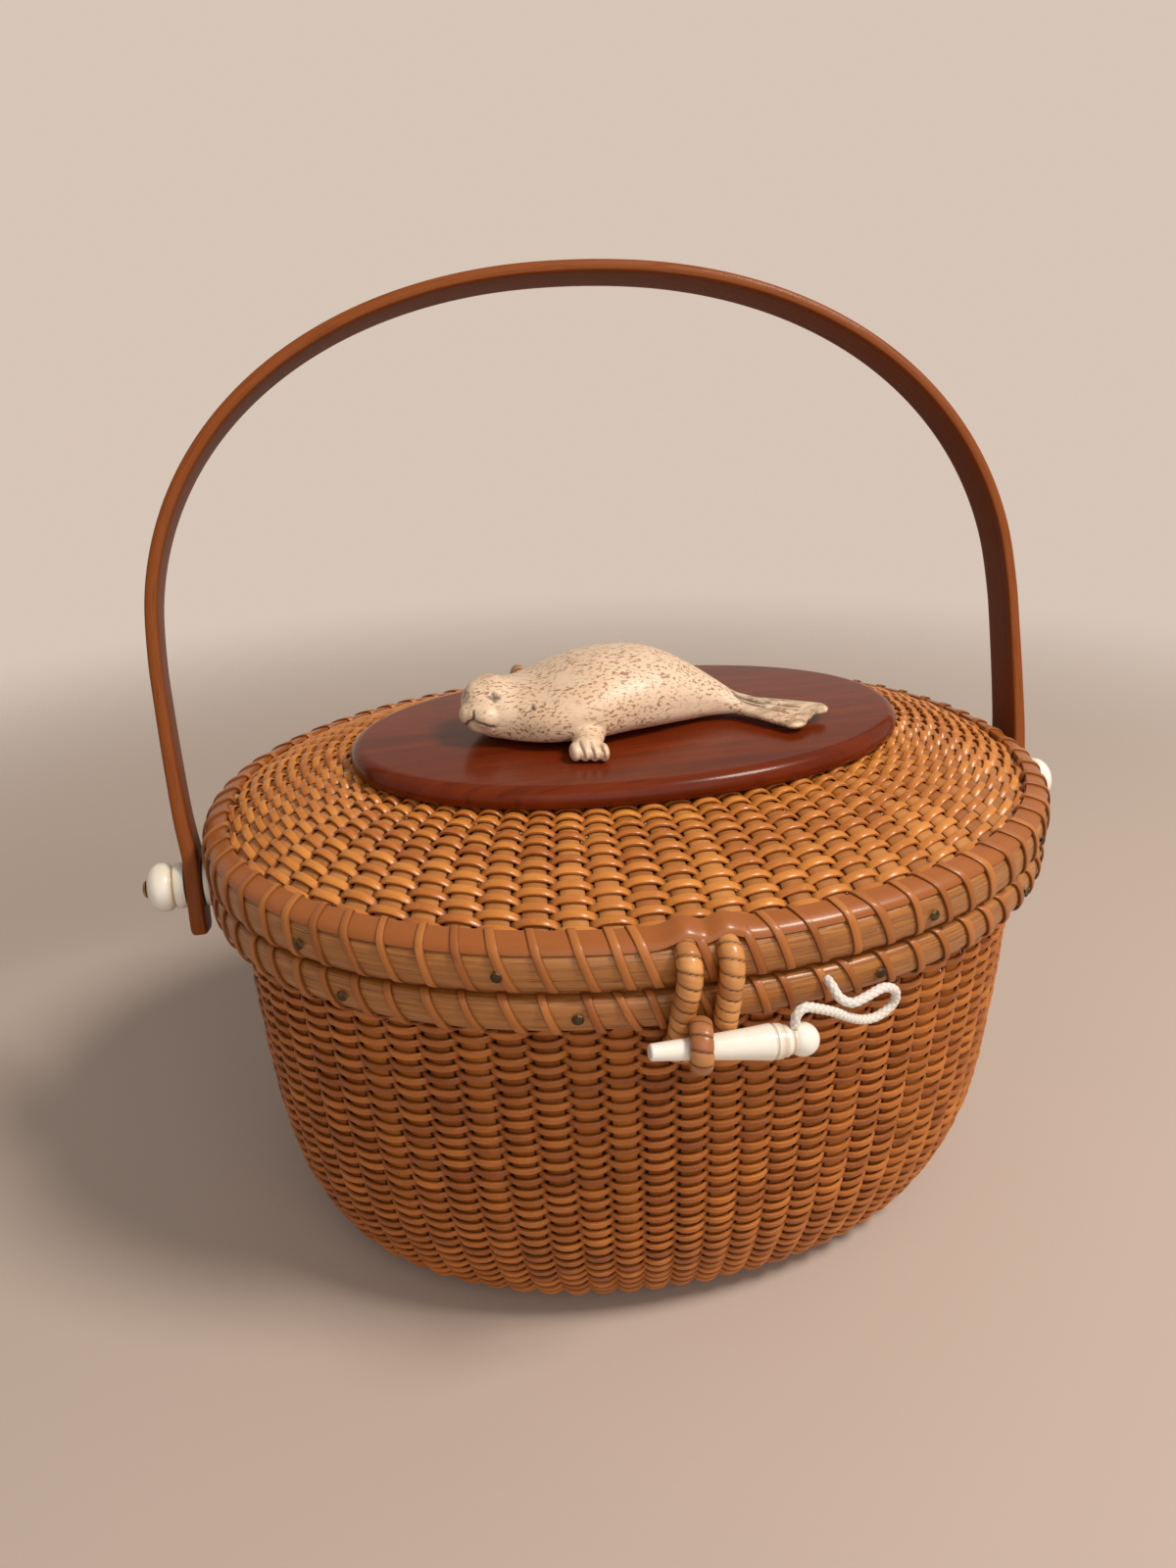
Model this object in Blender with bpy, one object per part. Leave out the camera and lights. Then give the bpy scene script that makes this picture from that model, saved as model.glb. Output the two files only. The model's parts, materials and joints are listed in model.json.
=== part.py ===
"""Lidded oval lightship basket purse: woven body and lid, bent-wood swing handle,
carved seal on a wooden plaque, and a cane-wrapped hasp held by a peg on a cord.

Metres, +Z up. The origin is the middle of the base's rest face, the length runs
along X, and the hasp side faces -Y. The handle leans back as it stands at rest.
"""
import math
from bisect import bisect_right

import bmesh
import bpy
from mathutils import Matrix, Vector

# Overall oval
HALF_LENGTH = 0.115
HALF_WIDTH = 0.091
OVAL_POWER_SHARE = 2.1
PARTING_HEIGHT = 0.112
GAP = 0.0003
OVERRUN = 0.002

# Base board
BASE_THICKNESS = 0.009
BASE_INSET = 0.031
BASE_BEVEL = 0.0012
GROOVE_DEPTH = 0.004
GROOVE_FLOOR = 0.0012

# Woven walls
WALL = 0.0022
BELLY_INSET = 0.0016
LOWER_INSET = 0.0046
HEEL_INSET = 0.0105

# Staves that show as upright ribs in the woven walls; a fan share above 0 spreads them
# along the front and back and gathers them at the ends
STAVES = 70
RIB_DEPTH = 0.0009
BODY_RIM_FAN_SHARE = -0.04
BODY_BASE_FAN_SHARE = -0.14
LID_BOARD_FAN_SHARE = 0.19

# Rims of body and lid
HOOP_THICKNESS = 0.005
HOOP_HEIGHT = 0.0095
BODY_HOOP_HEIGHT = 0.0085
INNER_HOOP_THICKNESS = 0.0025
INNER_HOOP_HEIGHT = 0.005
BODY_RIM_INSET = 0.0003
RIM_CAP_THICKNESS = 0.001
RIM_CAP_EDGE = 0.0016
LINER_THICKNESS = 0.0007
LINER_SHOW = 0.001
CAP_STRIP_THICKNESS = 0.001
CAP_STRIP_WIDTH = 0.0048
CAP_STRIP_RISE = 0.0018

# Lid
DOME_START_INSET = 0.0064
DOME_START_RISE = 0.0116
PLAQUE_RISE = 0.0219
DOME_POWER_SHARE = 2.3
LID_BOARD_HALF_LENGTH = 0.066
LID_BOARD_HALF_WIDTH = 0.037
LID_BOARD_THICKNESS = 0.006
LID_BOARD_BEVEL = 0.001
LID_GROOVE_DEPTH = 0.003

# Plaque and its screws
PLAQUE_HALF_LENGTH = 0.0753
PLAQUE_HALF_WIDTH = 0.0454
PLAQUE_THICKNESS = 0.0055
PLAQUE_ROUND = 0.0032
SCREW_SPACING = 0.080
SCREW_RADIUS = 0.0014
SCREW_HEAD_RADIUS = 0.0030
SCREW_HEAD_HEIGHT = 0.0012
SCREW_BITE = 0.0035

# Carved seal, lying along the plaque with its head to the left
SEAL_LENGTH = 0.070
SEAL_NOSE_X = -0.0455
SEAL_HALF_WIDTH = 0.0168
SEAL_HEIGHT = 0.0208
PAW_LENGTH = 0.0105
PAW_WIDTH = 0.0085
PAW_HEIGHT = 0.0048
FLIPPER_LENGTH = 0.027
FLIPPER_WIDTH = 0.0062
FLIPPER_HEIGHT = 0.0046

# Handle
PIVOT_BELOW_PARTING = 0.0062
HANDLE_LEAN_ANGLE = math.radians(20.3)
HANDLE_BOW = 0.0022
HANDLE_CROWN_START = 0.060
HANDLE_CROWN_RISE = 0.0971
HANDLE_CROWN_SHARE = 2.15
HANDLE_TAIL = 0.0135
HANDLE_THICKNESS = 0.0035
HANDLE_FOOT_THICKNESS = 0.0042
HANDLE_WIDTH = 0.0125
HANDLE_FOOT_WIDTH = 0.0142

# Handle pivots
PIN_RADIUS = 0.0011
PIN_CLEARANCE = 0.0003
PIN_HEAD_RADIUS = 0.0024
PIN_HEAD_HEIGHT = 0.0011
WASHER_RADIUS = 0.0063
WASHER_THICKNESS = 0.0016
KNOB_RADIUS = 0.0065
KNOB_LENGTH = 0.0098
KNOB_COLLAR_RADIUS = 0.0060
KNOB_COLLAR_LENGTH = 0.0032
BURR_RADIUS = 0.0036
BURR_THICKNESS = 0.0010

# Clasp
CLASP_X = -0.0085
TUBE_RADIUS = 0.0025
HASP_TOP_HALF_SPAN = 0.0046
HASP_HALF_SPAN = 0.0056
HASP_BAR_DROP = 0.0182
HASP_REACH = 0.0029
STAPLE_DROP = 0.0092
STAPLE_REACH = 0.0084
STAPLE_RING_RADIUS = 0.0057
STAPLE_NECK_RADIUS = 0.0019
STAPLE_NECK_DROP = 0.0131

# Peg and its cord
PEG_LENGTH = 0.0385
PEG_TIP_AHEAD = 0.0125
PEG_TIP_RADIUS = 0.0022
PEG_RADIUS = 0.0040
PEG_GROOVE_RADIUS = 0.0032
PEG_NECK_RADIUS = 0.0026
PEG_BALL_RADIUS = 0.0037
PEG_GROOVES_SHARE = 0.65
PEG_COLLAR_SHARE = 0.73
PEG_NECK_SHARE = 0.80
PEG_DIP_ANGLE = math.radians(5.0)
CORD_DIAMETER = 0.0022

# Route of the tether, from the front hoop round to the top of the peg's neck
CORD_ROUTE = (
    (0.0195, -0.0900, 0.1068),
    (0.0197, -0.0923, 0.1062),
    (0.0206, -0.0945, 0.1040),
    (0.0236, -0.0950, 0.1022),
    (0.0282, -0.0936, 0.1030),
    (0.0330, -0.0920, 0.1034),
    (0.0366, -0.0904, 0.1008),
    (0.0366, -0.0898, 0.0968),
    (0.0326, -0.0906, 0.0943),
    (0.0286, -0.0918, 0.0950),
    (0.0240, -0.0940, 0.0984),
    (0.0196, -0.0962, 0.1022),
    (0.0150, -0.0978, 0.1053),
    (0.0116, -0.0988, 0.1075),
    (0.0098, -0.0992, 0.1066),
    (0.0097, -0.0992, 0.1041),
)

# Hinge rings at the back
HINGE_INSET = 0.0015
HINGE_RING_X = 0.016
HINGE_RING_RADIUS = 0.0142
HINGE_TUBE_RADIUS = 0.002
HINGE_CLEARANCE = 0.0004

# Nails
NAIL_SHANK_RADIUS = 0.0006
NAIL_HEAD_RADIUS = 0.0014
NAIL_HEAD_HEIGHT = 0.0006
NAIL_LENGTH = 0.0032
LID_NAIL_SHARES = (-0.79, -0.44, 0.42, 0.80)
BODY_NAIL_SHARES = (-0.72, -0.30, 0.30, 0.74)

# Mesh steps
OVAL_STEPS = 48
RIM_STEPS = 1440
TUBE_SIDES = 8
CORD_STEPS = 3

# Sizes that follow from the ones above
HINGE_Y = HALF_WIDTH - HINGE_INSET
HINGE_Z = PARTING_HEIGHT + GAP / 2
PIVOT_Z = PARTING_HEIGHT - PIVOT_BELOW_PARTING
LID_FLOOR = PARTING_HEIGHT + GAP
LID_HOOP_TOP = LID_FLOOR + HOOP_HEIGHT
BODY_HOOP_TOP = PARTING_HEIGHT - RIM_CAP_THICKNESS - GAP
BODY_HOOP_FLOOR = BODY_HOOP_TOP - BODY_HOOP_HEIGHT
DOME_TOP = PARTING_HEIGHT + PLAQUE_RISE
LINER_INSET = BODY_RIM_INSET + HOOP_THICKNESS + GAP
WALL_INSET = LINER_INSET + LINER_THICKNESS + GAP
LID_WALL_INSET = HOOP_THICKNESS + GAP
PLAQUE_FLOOR = DOME_TOP + GAP
PLAQUE_TOP = PLAQUE_FLOOR + PLAQUE_THICKNESS
HANDLE_FOOT_HALF_SPAN = HALF_LENGTH + 2 * GAP + WASHER_THICKNESS + HANDLE_FOOT_THICKNESS
HANDLE_HALF_SPAN = HANDLE_FOOT_HALF_SPAN + HANDLE_BOW
PEG_AXIS = Vector((math.cos(PEG_DIP_ANGLE), 0.0, -math.sin(PEG_DIP_ANGLE)))


def clear_scene():
    for item in list(bpy.data.objects):
        bpy.data.objects.remove(item, do_unlink=True)


def material(name, colour, roughness, metallic=0.0):
    made = bpy.data.materials.new(name)
    made.use_nodes = True
    shader = made.node_tree.nodes["Principled BSDF"]
    shader.inputs["Base Color"].default_value = (*colour, 1.0)
    shader.inputs["Roughness"].default_value = roughness
    shader.inputs["Metallic"].default_value = metallic
    return made


def finish(name, bm, look, smooth=True):
    """Turn a bmesh into a named object with outward faces and one material."""
    bmesh.ops.recalc_face_normals(bm, faces=bm.faces)
    mesh = bpy.data.meshes.new(name)
    bm.to_mesh(mesh)
    bm.free()
    made = bpy.data.objects.new(name, mesh)
    bpy.context.collection.objects.link(made)
    made.data.materials.append(look)
    if smooth:
        mesh.shade_smooth()
        mesh.set_sharp_from_angle(angle=math.radians(40.0))
    return made


def as_cutter(piece):
    piece.hide_render = True
    piece.display_type = "WIRE"
    return piece


def boolean(piece, other, operation="DIFFERENCE"):
    modifier = piece.modifiers.new(other.name, "BOOLEAN")
    modifier.object = other
    modifier.operation = operation
    modifier.solver = "EXACT"
    modifier.use_self = True


def oval_point(angle, half_length, half_width):
    """A point of the rounded oval that every rim, wall and board follows."""
    power = 2.0 / OVAL_POWER_SHARE
    cosine, sine = math.cos(angle), math.sin(angle)
    across = math.copysign(abs(cosine) ** power, cosine)
    along = math.copysign(abs(sine) ** power, sine)
    return half_length * across, half_width * along


def oval_front(x, inset=0.0):
    """How far the oval reaches along Y at a given X."""
    share = min(abs(x) / (HALF_LENGTH - inset), 1.0)
    return (HALF_WIDTH - inset) * (1.0 - share**OVAL_POWER_SHARE) ** (1.0 / OVAL_POWER_SHARE)


def extrude_ring(bm, edges, place):
    """Extrude a loop of edges once and set each new vertex with place(vertex)."""
    grown = bmesh.ops.extrude_edge_only(bm, edges=edges)["geom"]
    fresh = [item for item in grown if isinstance(item, bmesh.types.BMVert)]
    for vert in fresh:
        vert.co = place(vert)
    known = set(fresh)
    return [
        item
        for item in grown
        if isinstance(item, bmesh.types.BMEdge) and known.issuperset(item.verts)
    ]


def oval_loft(name, sections, look, closed=False):
    """Loft ovals (half length, half width, height), capped or joined end to end."""
    bm = bmesh.new()
    bmesh.ops.create_circle(bm, segments=OVAL_STEPS, radius=1.0)
    length, width, height = sections[0]
    for vert in bm.verts:
        angle = math.atan2(vert.co.y, vert.co.x)
        x, y = oval_point(angle, length, width)
        vert.co = (x, y, height)
    first = edges = bm.edges[:]
    for new_length, new_width, new_height in sections[1:]:
        x_share, y_share = new_length / length, new_width / width
        edges = extrude_ring(
            bm, edges, lambda vert: Vector((vert.co.x * x_share, vert.co.y * y_share, new_height))
        )
        length, width = new_length, new_width
    if closed:
        bmesh.ops.bridge_loops(bm, edges=first + edges)
    else:
        bmesh.ops.holes_fill(bm, edges=bm.edges, sides=0)
    return finish(name, bm, look)


def stave_angles(fan_share):
    """The oval's angle at each stave and midway to the next, counted from the clasp."""
    angles = [math.tau * step / RIM_STEPS for step in range(RIM_STEPS + 1)]
    points = [Vector(oval_point(angle, HALF_LENGTH, HALF_WIDTH)) for angle in angles]
    runs = [0.0]
    for start, end in zip(points, points[1:]):
        runs.append(runs[-1] + (end - start).length)
    front = range(RIM_STEPS // 2, RIM_STEPS)
    clasp = min(front, key=lambda step: abs(points[step].x - CLASP_X))
    found = []
    for step in range(2 * STAVES):
        even = runs[clasp] / runs[-1] + step / (2 * STAVES)
        turn = 2 * math.tau * (even - 0.75)
        run = (even + fan_share * math.sin(turn) / (2 * math.tau)) % 1.0 * runs[-1]
        after = min(bisect_right(runs, run), RIM_STEPS)
        part = (run - runs[after - 1]) / (runs[after] - runs[after - 1])
        found.append(angles[after - 1] + part * (angles[after] - angles[after - 1]))
    return found


def ribbed_loft(name, ribs, valleys, fan_shares, look):
    """Loft rings of ovals (half length, half width, height), joined end to end.

    Each ring has a point of its rib oval at each stave and one of its valley oval between.
    The first and the last ring lie at unlike heights, so that they are bridged the right way.
    """
    bm = bmesh.new()
    step_of = bm.verts.layers.int.new("stave_step")
    bmesh.ops.create_circle(bm, segments=2 * STAVES, radius=1.0)
    for vert in bm.verts:
        vert[step_of] = round(math.atan2(vert.co.y, vert.co.x) / math.tau * 2 * STAVES) % (2 * STAVES)

    def spot(vert, rib, valley, angles):
        step = vert[step_of]
        length, width, height = valley if step % 2 else rib
        x, y = oval_point(angles[step], length, width)
        return Vector((x, y, height))

    first = edges = bm.edges[:]
    angles = stave_angles(fan_shares[0])
    for vert in bm.verts:
        vert.co = spot(vert, ribs[0], valleys[0], angles)
    for rib, valley, fan_share in zip(ribs[1:], valleys[1:], fan_shares[1:]):
        angles = stave_angles(fan_share)
        edges = extrude_ring(bm, edges, lambda vert: spot(vert, rib, valley, angles))
    bmesh.ops.bridge_loops(bm, edges=first + edges)
    return finish(name, bm, look)


def rim_sections(profile):
    """Sections from (inset from the outer oval, height) pairs."""
    return [(HALF_LENGTH - inset, HALF_WIDTH - inset, height) for inset, height in profile]


def turned(name, profile, look, steps=16):
    """Turn (place along X, radius) pairs about the X axis."""
    bm = bmesh.new()
    verts = [bm.verts.new((along, 0.0, radius)) for along, radius in profile]
    edges = [bm.edges.new(pair) for pair in zip(verts, verts[1:])]
    bmesh.ops.spin(
        bm,
        geom=verts + edges,
        cent=(0.0, 0.0, 0.0),
        axis=(1.0, 0.0, 0.0),
        angle=math.tau,
        steps=steps,
        use_merge=True,
    )
    bmesh.ops.remove_doubles(bm, verts=bm.verts, dist=GAP / 100)
    return finish(name, bm, look)


def place(piece, location, direction=None):
    """Lay a turned piece's own X axis along a direction, at a location, in its mesh."""
    matrix = Matrix.Translation(location)
    if direction is not None:
        turn = Vector((1.0, 0.0, 0.0)).rotation_difference(Vector(direction))
        matrix = matrix @ turn.to_matrix().to_4x4()
    piece.data.transform(matrix)
    return piece


def hinge_origin(piece, origin):
    """Put the object's origin on its joint axis without moving its surface."""
    piece.data.transform(Matrix.Translation(-Vector(origin)))
    piece.location = origin
    return piece


def smooth_path(points, steps, closed=False):
    """Catmull-Rom points through hand-set places."""
    count = len(points)
    spans = count if closed else count - 1
    path = []
    for span in range(spans):
        around = [
            points[(span + shift) % count] if closed else points[min(max(span + shift, 0), count - 1)]
            for shift in (-1, 0, 1, 2)
        ]
        before, start, end, after = (Vector(point) for point in around)
        for step in range(steps):
            t = step / steps
            path.append(
                0.5
                * (
                    2.0 * start
                    + (end - before) * t
                    + (2.0 * before - 5.0 * start + 4.0 * end - after) * t**2
                    + (3.0 * start - before - 3.0 * end + after) * t**3
                )
            )
    if not closed:
        path.append(Vector(points[-1]))
    return path


def tube(name, path, radius, look, closed=False, sides=TUBE_SIDES):
    """Sweep a round section along a path, carrying its frame without twist."""
    count = len(path)
    bm = bmesh.new()
    tangents = []
    for index in range(count):
        ahead = path[(index + 1) % count] if closed else path[min(index + 1, count - 1)]
        behind = path[index - 1] if closed else path[max(index - 1, 0)]
        tangents.append((ahead - behind).normalized())
    side = tangents[0].orthogonal().normalized()
    rings = []
    for point, tangent in zip(path, tangents):
        side = (side - tangent * side.dot(tangent)).normalized()
        other = tangent.cross(side)
        ring = []
        for step in range(sides):
            angle = math.tau * step / sides
            offset = side * (radius * math.cos(angle)) + other * (radius * math.sin(angle))
            ring.append(bm.verts.new(point + offset))
        rings.append([bm.edges.new((ring[k - 1], ring[k])) for k in range(sides)])
    for first, second in zip(rings, rings[1:]):
        bmesh.ops.bridge_loops(bm, edges=first + second)
    if closed:
        bmesh.ops.bridge_loops(bm, edges=rings[-1] + rings[0])
    else:
        bmesh.ops.holes_fill(bm, edges=bm.edges, sides=0)
    return finish(name, bm, look)


def ring_about_x(name, centre, radius, tube_radius, look, steps=24):
    path = [
        Vector(centre)
        + Vector((0.0, radius * math.cos(math.tau * k / steps), radius * math.sin(math.tau * k / steps)))
        for k in range(steps)
    ]
    return tube(name, path, tube_radius, look, closed=True)


def half_round(inset, floor, height, thickness, outward=True):
    """Profile of a half-round hoop: flat against the wall, rounded on the other side."""
    shape_shares = ((1.0, 0.0), (0.38, 0.0), (0.12, 0.17), (0.0, 0.42), (0.0, 0.58), (0.12, 0.83))
    shape_shares += ((0.38, 1.0), (1.0, 1.0))
    profile = []
    for across_share, up_share in shape_shares:
        across = thickness * across_share if outward else thickness * (1.0 - across_share)
        profile.append((inset + across, floor + height * up_share))
    return profile


def base_board(look):
    length, width = HALF_LENGTH - BASE_INSET, HALF_WIDTH - BASE_INSET
    groove_top = GROOVE_FLOOR + WALL + 2 * GAP
    profile = [
        (BASE_BEVEL, 0.0),
        (0.0, GROOVE_FLOOR),
        (GROOVE_DEPTH, GROOVE_FLOOR),
        (GROOVE_DEPTH, groove_top),
        (0.0, groove_top),
        (0.0, BASE_THICKNESS - BASE_BEVEL),
        (BASE_BEVEL, BASE_THICKNESS),
    ]
    sections = [(length - inset, width - inset, height) for inset, height in profile]
    return oval_loft("base_board", sections, look)


def body_wall_profile():
    """Outer face of the body's woven wall, from the groove of the base up to the rim."""
    groove_inset = BASE_INSET + GROOVE_DEPTH - GAP
    floor = GROOVE_FLOOR + GAP
    wall_foot = BODY_HOOP_FLOOR
    return [
        (groove_inset, floor),
        (BASE_INSET - WALL, floor),
        (WALL_INSET + LOWER_INSET + HEEL_INSET, wall_foot * 0.05),
        (WALL_INSET + LOWER_INSET + HEEL_INSET * 0.55, wall_foot * 0.11),
        (WALL_INSET + LOWER_INSET, wall_foot * 0.28),
        (WALL_INSET + BELLY_INSET, wall_foot * 0.55),
        (WALL_INSET, wall_foot),
        (WALL_INSET, BODY_HOOP_TOP),
    ]


def thicken(profile, wall):
    """The inner face of a wall, set off square to its outer face."""
    inner = []
    last = len(profile) - 1
    for index, (inset, height) in enumerate(profile):
        before = profile[max(index - 1, 0)]
        after = profile[min(index + 1, last)]
        run = Vector((after[0] - before[0], after[1] - before[1])).normalized()
        inner.append((inset + wall * run.y, height - wall * run.x))
    return inner


def body_weave(look):
    outer = body_wall_profile()
    inner = thicken(outer, WALL)
    inner[0] = (outer[0][0], outer[0][1] + WALL)
    inner[-1] = (outer[-1][0] + WALL, outer[-1][1])
    valley = thicken(outer, RIB_DEPTH)
    valley[0] = outer[0]
    valley[-1] = (outer[-1][0] + RIB_DEPTH, outer[-1][1])
    ribs, valleys = outer + inner[::-1], valley + inner[::-1]
    spread = BODY_BASE_FAN_SHARE - BODY_RIM_FAN_SHARE
    fans = [BODY_BASE_FAN_SHARE - spread * min(z / BODY_HOOP_FLOOR, 1.0) for _, z in ribs]
    return ribbed_loft("body_weave", rim_sections(ribs), rim_sections(valleys), fans, look)


def lid_sections():
    """Outer face of the lid's woven dome, from the rim up to the lid board's groove."""
    start_length, start_width = HALF_LENGTH - DOME_START_INSET, HALF_WIDTH - DOME_START_INSET
    start_height = PARTING_HEIGHT + DOME_START_RISE
    rise = DOME_TOP - start_height
    sections = [
        (HALF_LENGTH - LID_WALL_INSET, HALF_WIDTH - LID_WALL_INSET, LID_FLOOR),
        (HALF_LENGTH - LID_WALL_INSET, HALF_WIDTH - LID_WALL_INSET, LID_HOOP_TOP),
    ]
    for share in (0.0, 0.12, 0.28, 0.5, 0.75, 1.0):
        height = start_height + rise * (1.0 - (1.0 - share) ** DOME_POWER_SHARE)
        length = start_length + (LID_BOARD_HALF_LENGTH - start_length) * share
        width = start_width + (LID_BOARD_HALF_WIDTH - start_width) * share
        sections.append((length, width, height))
    return sections


def lid_weave(look):
    outer = lid_sections()
    tuck = LID_GROOVE_DEPTH - GAP
    outer.append((outer[-1][0] - tuck, outer[-1][1] - tuck, DOME_TOP))
    inner, valley = [], []
    for index, (length, width, height) in enumerate(outer):
        before, after = outer[max(index - 1, 0)], outer[min(index + 1, len(outer) - 1)]
        run = Vector((before[0] - after[0], after[2] - before[2])).normalized()
        for depth, sections in ((WALL, inner), (RIB_DEPTH, valley)):
            sections.append((length - depth * run.y, width - depth * run.y, height - depth * run.x))
    inner[0] = (outer[0][0] - WALL, outer[0][1] - WALL, outer[0][2])
    inner[-1] = (outer[-1][0], outer[-1][1], DOME_TOP - WALL)
    valley[:2], valley[-1] = outer[:2], outer[-1]
    ribs, valleys = inner[::-1] + outer, inner[::-1] + valley
    start_length = HALF_LENGTH - DOME_START_INSET
    reach = start_length - LID_BOARD_HALF_LENGTH
    fans = []
    for length, _, _ in ribs:
        share = min(max((start_length - length) / reach, 0.0), 1.0)
        fans.append(BODY_RIM_FAN_SHARE + (LID_BOARD_FAN_SHARE - BODY_RIM_FAN_SHARE) * share)
    return ribbed_loft("lid_weave", ribs, valleys, fans, look)


def lid_board(look):
    """The board that the lid's staves are let into, under the plaque."""
    tuck = LID_GROOVE_DEPTH
    groove_floor = DOME_TOP - WALL - GAP
    floor = DOME_TOP - LID_BOARD_THICKNESS
    profile = [
        (LID_BOARD_BEVEL, floor),
        (0.0, floor + LID_BOARD_BEVEL),
        (0.0, groove_floor),
        (tuck, groove_floor),
        (tuck, DOME_TOP),
    ]
    sections = [
        (LID_BOARD_HALF_LENGTH - inset, LID_BOARD_HALF_WIDTH - inset, height)
        for inset, height in profile
    ]
    return oval_loft("lid_board", sections, look)


def plaque(look):
    profile = [
        (PLAQUE_ROUND * 0.25, PLAQUE_FLOOR),
        (0.0, PLAQUE_FLOOR + PLAQUE_ROUND * 0.25),
        (0.0, PLAQUE_TOP - PLAQUE_ROUND),
        (PLAQUE_ROUND * 0.3, PLAQUE_TOP - PLAQUE_ROUND * 0.3),
        (PLAQUE_ROUND, PLAQUE_TOP),
    ]
    sections = [
        (PLAQUE_HALF_LENGTH - inset, PLAQUE_HALF_WIDTH - inset, height) for inset, height in profile
    ]
    return oval_loft("plaque", sections, look)


def plaque_screw(side_name, x, look, board, plate):
    """A brass screw driven up through the lid board into the plaque."""
    floor = DOME_TOP - LID_BOARD_THICKNESS - GAP
    length = LID_BOARD_THICKNESS + 2 * GAP + SCREW_BITE
    profile = [
        (-SCREW_HEAD_HEIGHT, 0.0),
        (-SCREW_HEAD_HEIGHT, SCREW_HEAD_RADIUS * 0.7),
        (-SCREW_HEAD_HEIGHT * 0.5, SCREW_HEAD_RADIUS),
        (0.0, SCREW_HEAD_RADIUS),
        (0.0, SCREW_RADIUS),
        (length, SCREW_RADIUS * 0.7),
        (length, 0.0),
    ]
    up = (0.0, 0.0, 1.0)
    screw = place(turned(side_name + "_plaque_screw", profile, look, 10), (x, 0.0, floor), up)
    hole_profile = [
        (-OVERRUN, 0.0),
        (-OVERRUN, SCREW_RADIUS + GAP),
        (length + GAP, SCREW_RADIUS + GAP),
        (length + GAP, 0.0),
    ]
    hole = turned(side_name + "_plaque_screw_hole", hole_profile, look, 10)
    hole = as_cutter(place(hole, (x, 0.0, floor), up))
    boolean(board, hole)
    boolean(plate, hole)
    return screw


def seal_body(look):
    """The seal's trunk as ovals along its length, flat where it lies on the plaque."""
    floor = PLAQUE_TOP + GAP
    station_shares = (
        (0.00, 0.16, 0.42, 0.16, 0.00),
        (0.04, 0.36, 0.53, 0.10, 0.00),
        (0.13, 0.58, 0.74, 0.03, 0.00),
        (0.24, 0.64, 0.77, 0.0, 0.00),
        (0.38, 0.82, 0.92, 0.0, 0.00),
        (0.54, 1.00, 1.00, 0.0, 0.00),
        (0.68, 0.96, 0.95, 0.0, 0.00),
        (0.80, 0.74, 0.76, 0.0, -0.04),
        (0.91, 0.46, 0.50, 0.0, -0.14),
        (1.00, 0.26, 0.32, 0.0, -0.30),
    )
    bm = bmesh.new()
    edges = None
    sides = 14
    for index, (along, wide, high, lift, sway) in enumerate(station_shares):
        x = SEAL_NOSE_X + SEAL_LENGTH * along
        half_width = SEAL_HALF_WIDTH * wide
        bottom = floor + SEAL_HEIGHT * lift
        half_height = (floor + SEAL_HEIGHT * high - bottom) / 2
        middle = bottom + half_height
        ring = []
        for step in range(sides):
            angle = math.tau * step / sides
            y = SEAL_HALF_WIDTH * sway + half_width * math.cos(angle)
            z = middle + half_height * math.sin(angle)
            ring.append(bm.verts.new((x, y, max(z, bottom + half_height * 0.08))))
        loop = [bm.edges.new((ring[k - 1], ring[k])) for k in range(sides)]
        if edges is not None:
            bmesh.ops.bridge_loops(bm, edges=edges + loop)
        edges = loop
    bmesh.ops.holes_fill(bm, edges=bm.edges, sides=0)
    for vert in bm.verts:
        vert.co.z = max(vert.co.z, floor)
    return finish("seal_figure", bm, look)


def paddle(name, start, end, width, height, floor, look):
    """A flat tapering limb between two points, lying on a floor."""
    start, end = Vector(start), Vector(end)
    along = (end - start).normalized()
    across = Vector((-along.y, along.x, 0.0))
    bm = bmesh.new()
    edges = None
    for share, wide, high in ((0.0, 0.75, 1.0), (0.35, 0.7, 1.0), (0.8, 1.0, 0.8), (1.0, 0.7, 0.5)):
        point = start + (end - start) * share
        ring = []
        for step in range(8):
            angle = math.tau * (step + 0.5) / 8
            side = across * (width / 2 * wide * math.cos(angle))
            up = height * high * (0.5 + 0.5 * math.sin(angle))
            ring.append(bm.verts.new((point.x + side.x, point.y + side.y, floor + up)))
        loop = [bm.edges.new((ring[k - 1], ring[k])) for k in range(8)]
        if edges is not None:
            bmesh.ops.bridge_loops(bm, edges=edges + loop)
        edges = loop
    bmesh.ops.holes_fill(bm, edges=bm.edges, sides=0)
    return as_cutter(finish(name, bm, look))


def seal(look):
    floor = PLAQUE_TOP + GAP
    figure = seal_body(look)
    shoulder_x = SEAL_NOSE_X + SEAL_LENGTH * 0.42
    for side, mirror in (("near", -1.0), ("far", 1.0)):
        root = (shoulder_x, mirror * SEAL_HALF_WIDTH * 0.45, 0.0)
        tip = (shoulder_x - PAW_LENGTH * 0.1, mirror * (SEAL_HALF_WIDTH + PAW_LENGTH * 0.9), 0.0)
        limb = paddle(side + "_paw", root, tip, PAW_WIDTH, PAW_HEIGHT, floor, look)
        boolean(figure, limb, "UNION")
    tail = SEAL_NOSE_X + SEAL_LENGTH * 0.93
    sway = -SEAL_HALF_WIDTH * 0.18
    for side, spread in (("near", -0.92), ("far", -0.42)):
        turn = Vector((math.cos(spread), math.sin(spread), 0.0))
        root = Vector((tail, sway, 0.0))
        limb = paddle(
            side + "_flipper",
            root,
            root + turn * FLIPPER_LENGTH,
            FLIPPER_WIDTH,
            FLIPPER_HEIGHT,
            floor + GAP / 3,
            look,
        )
        boolean(figure, limb, "UNION")
    return figure


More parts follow.
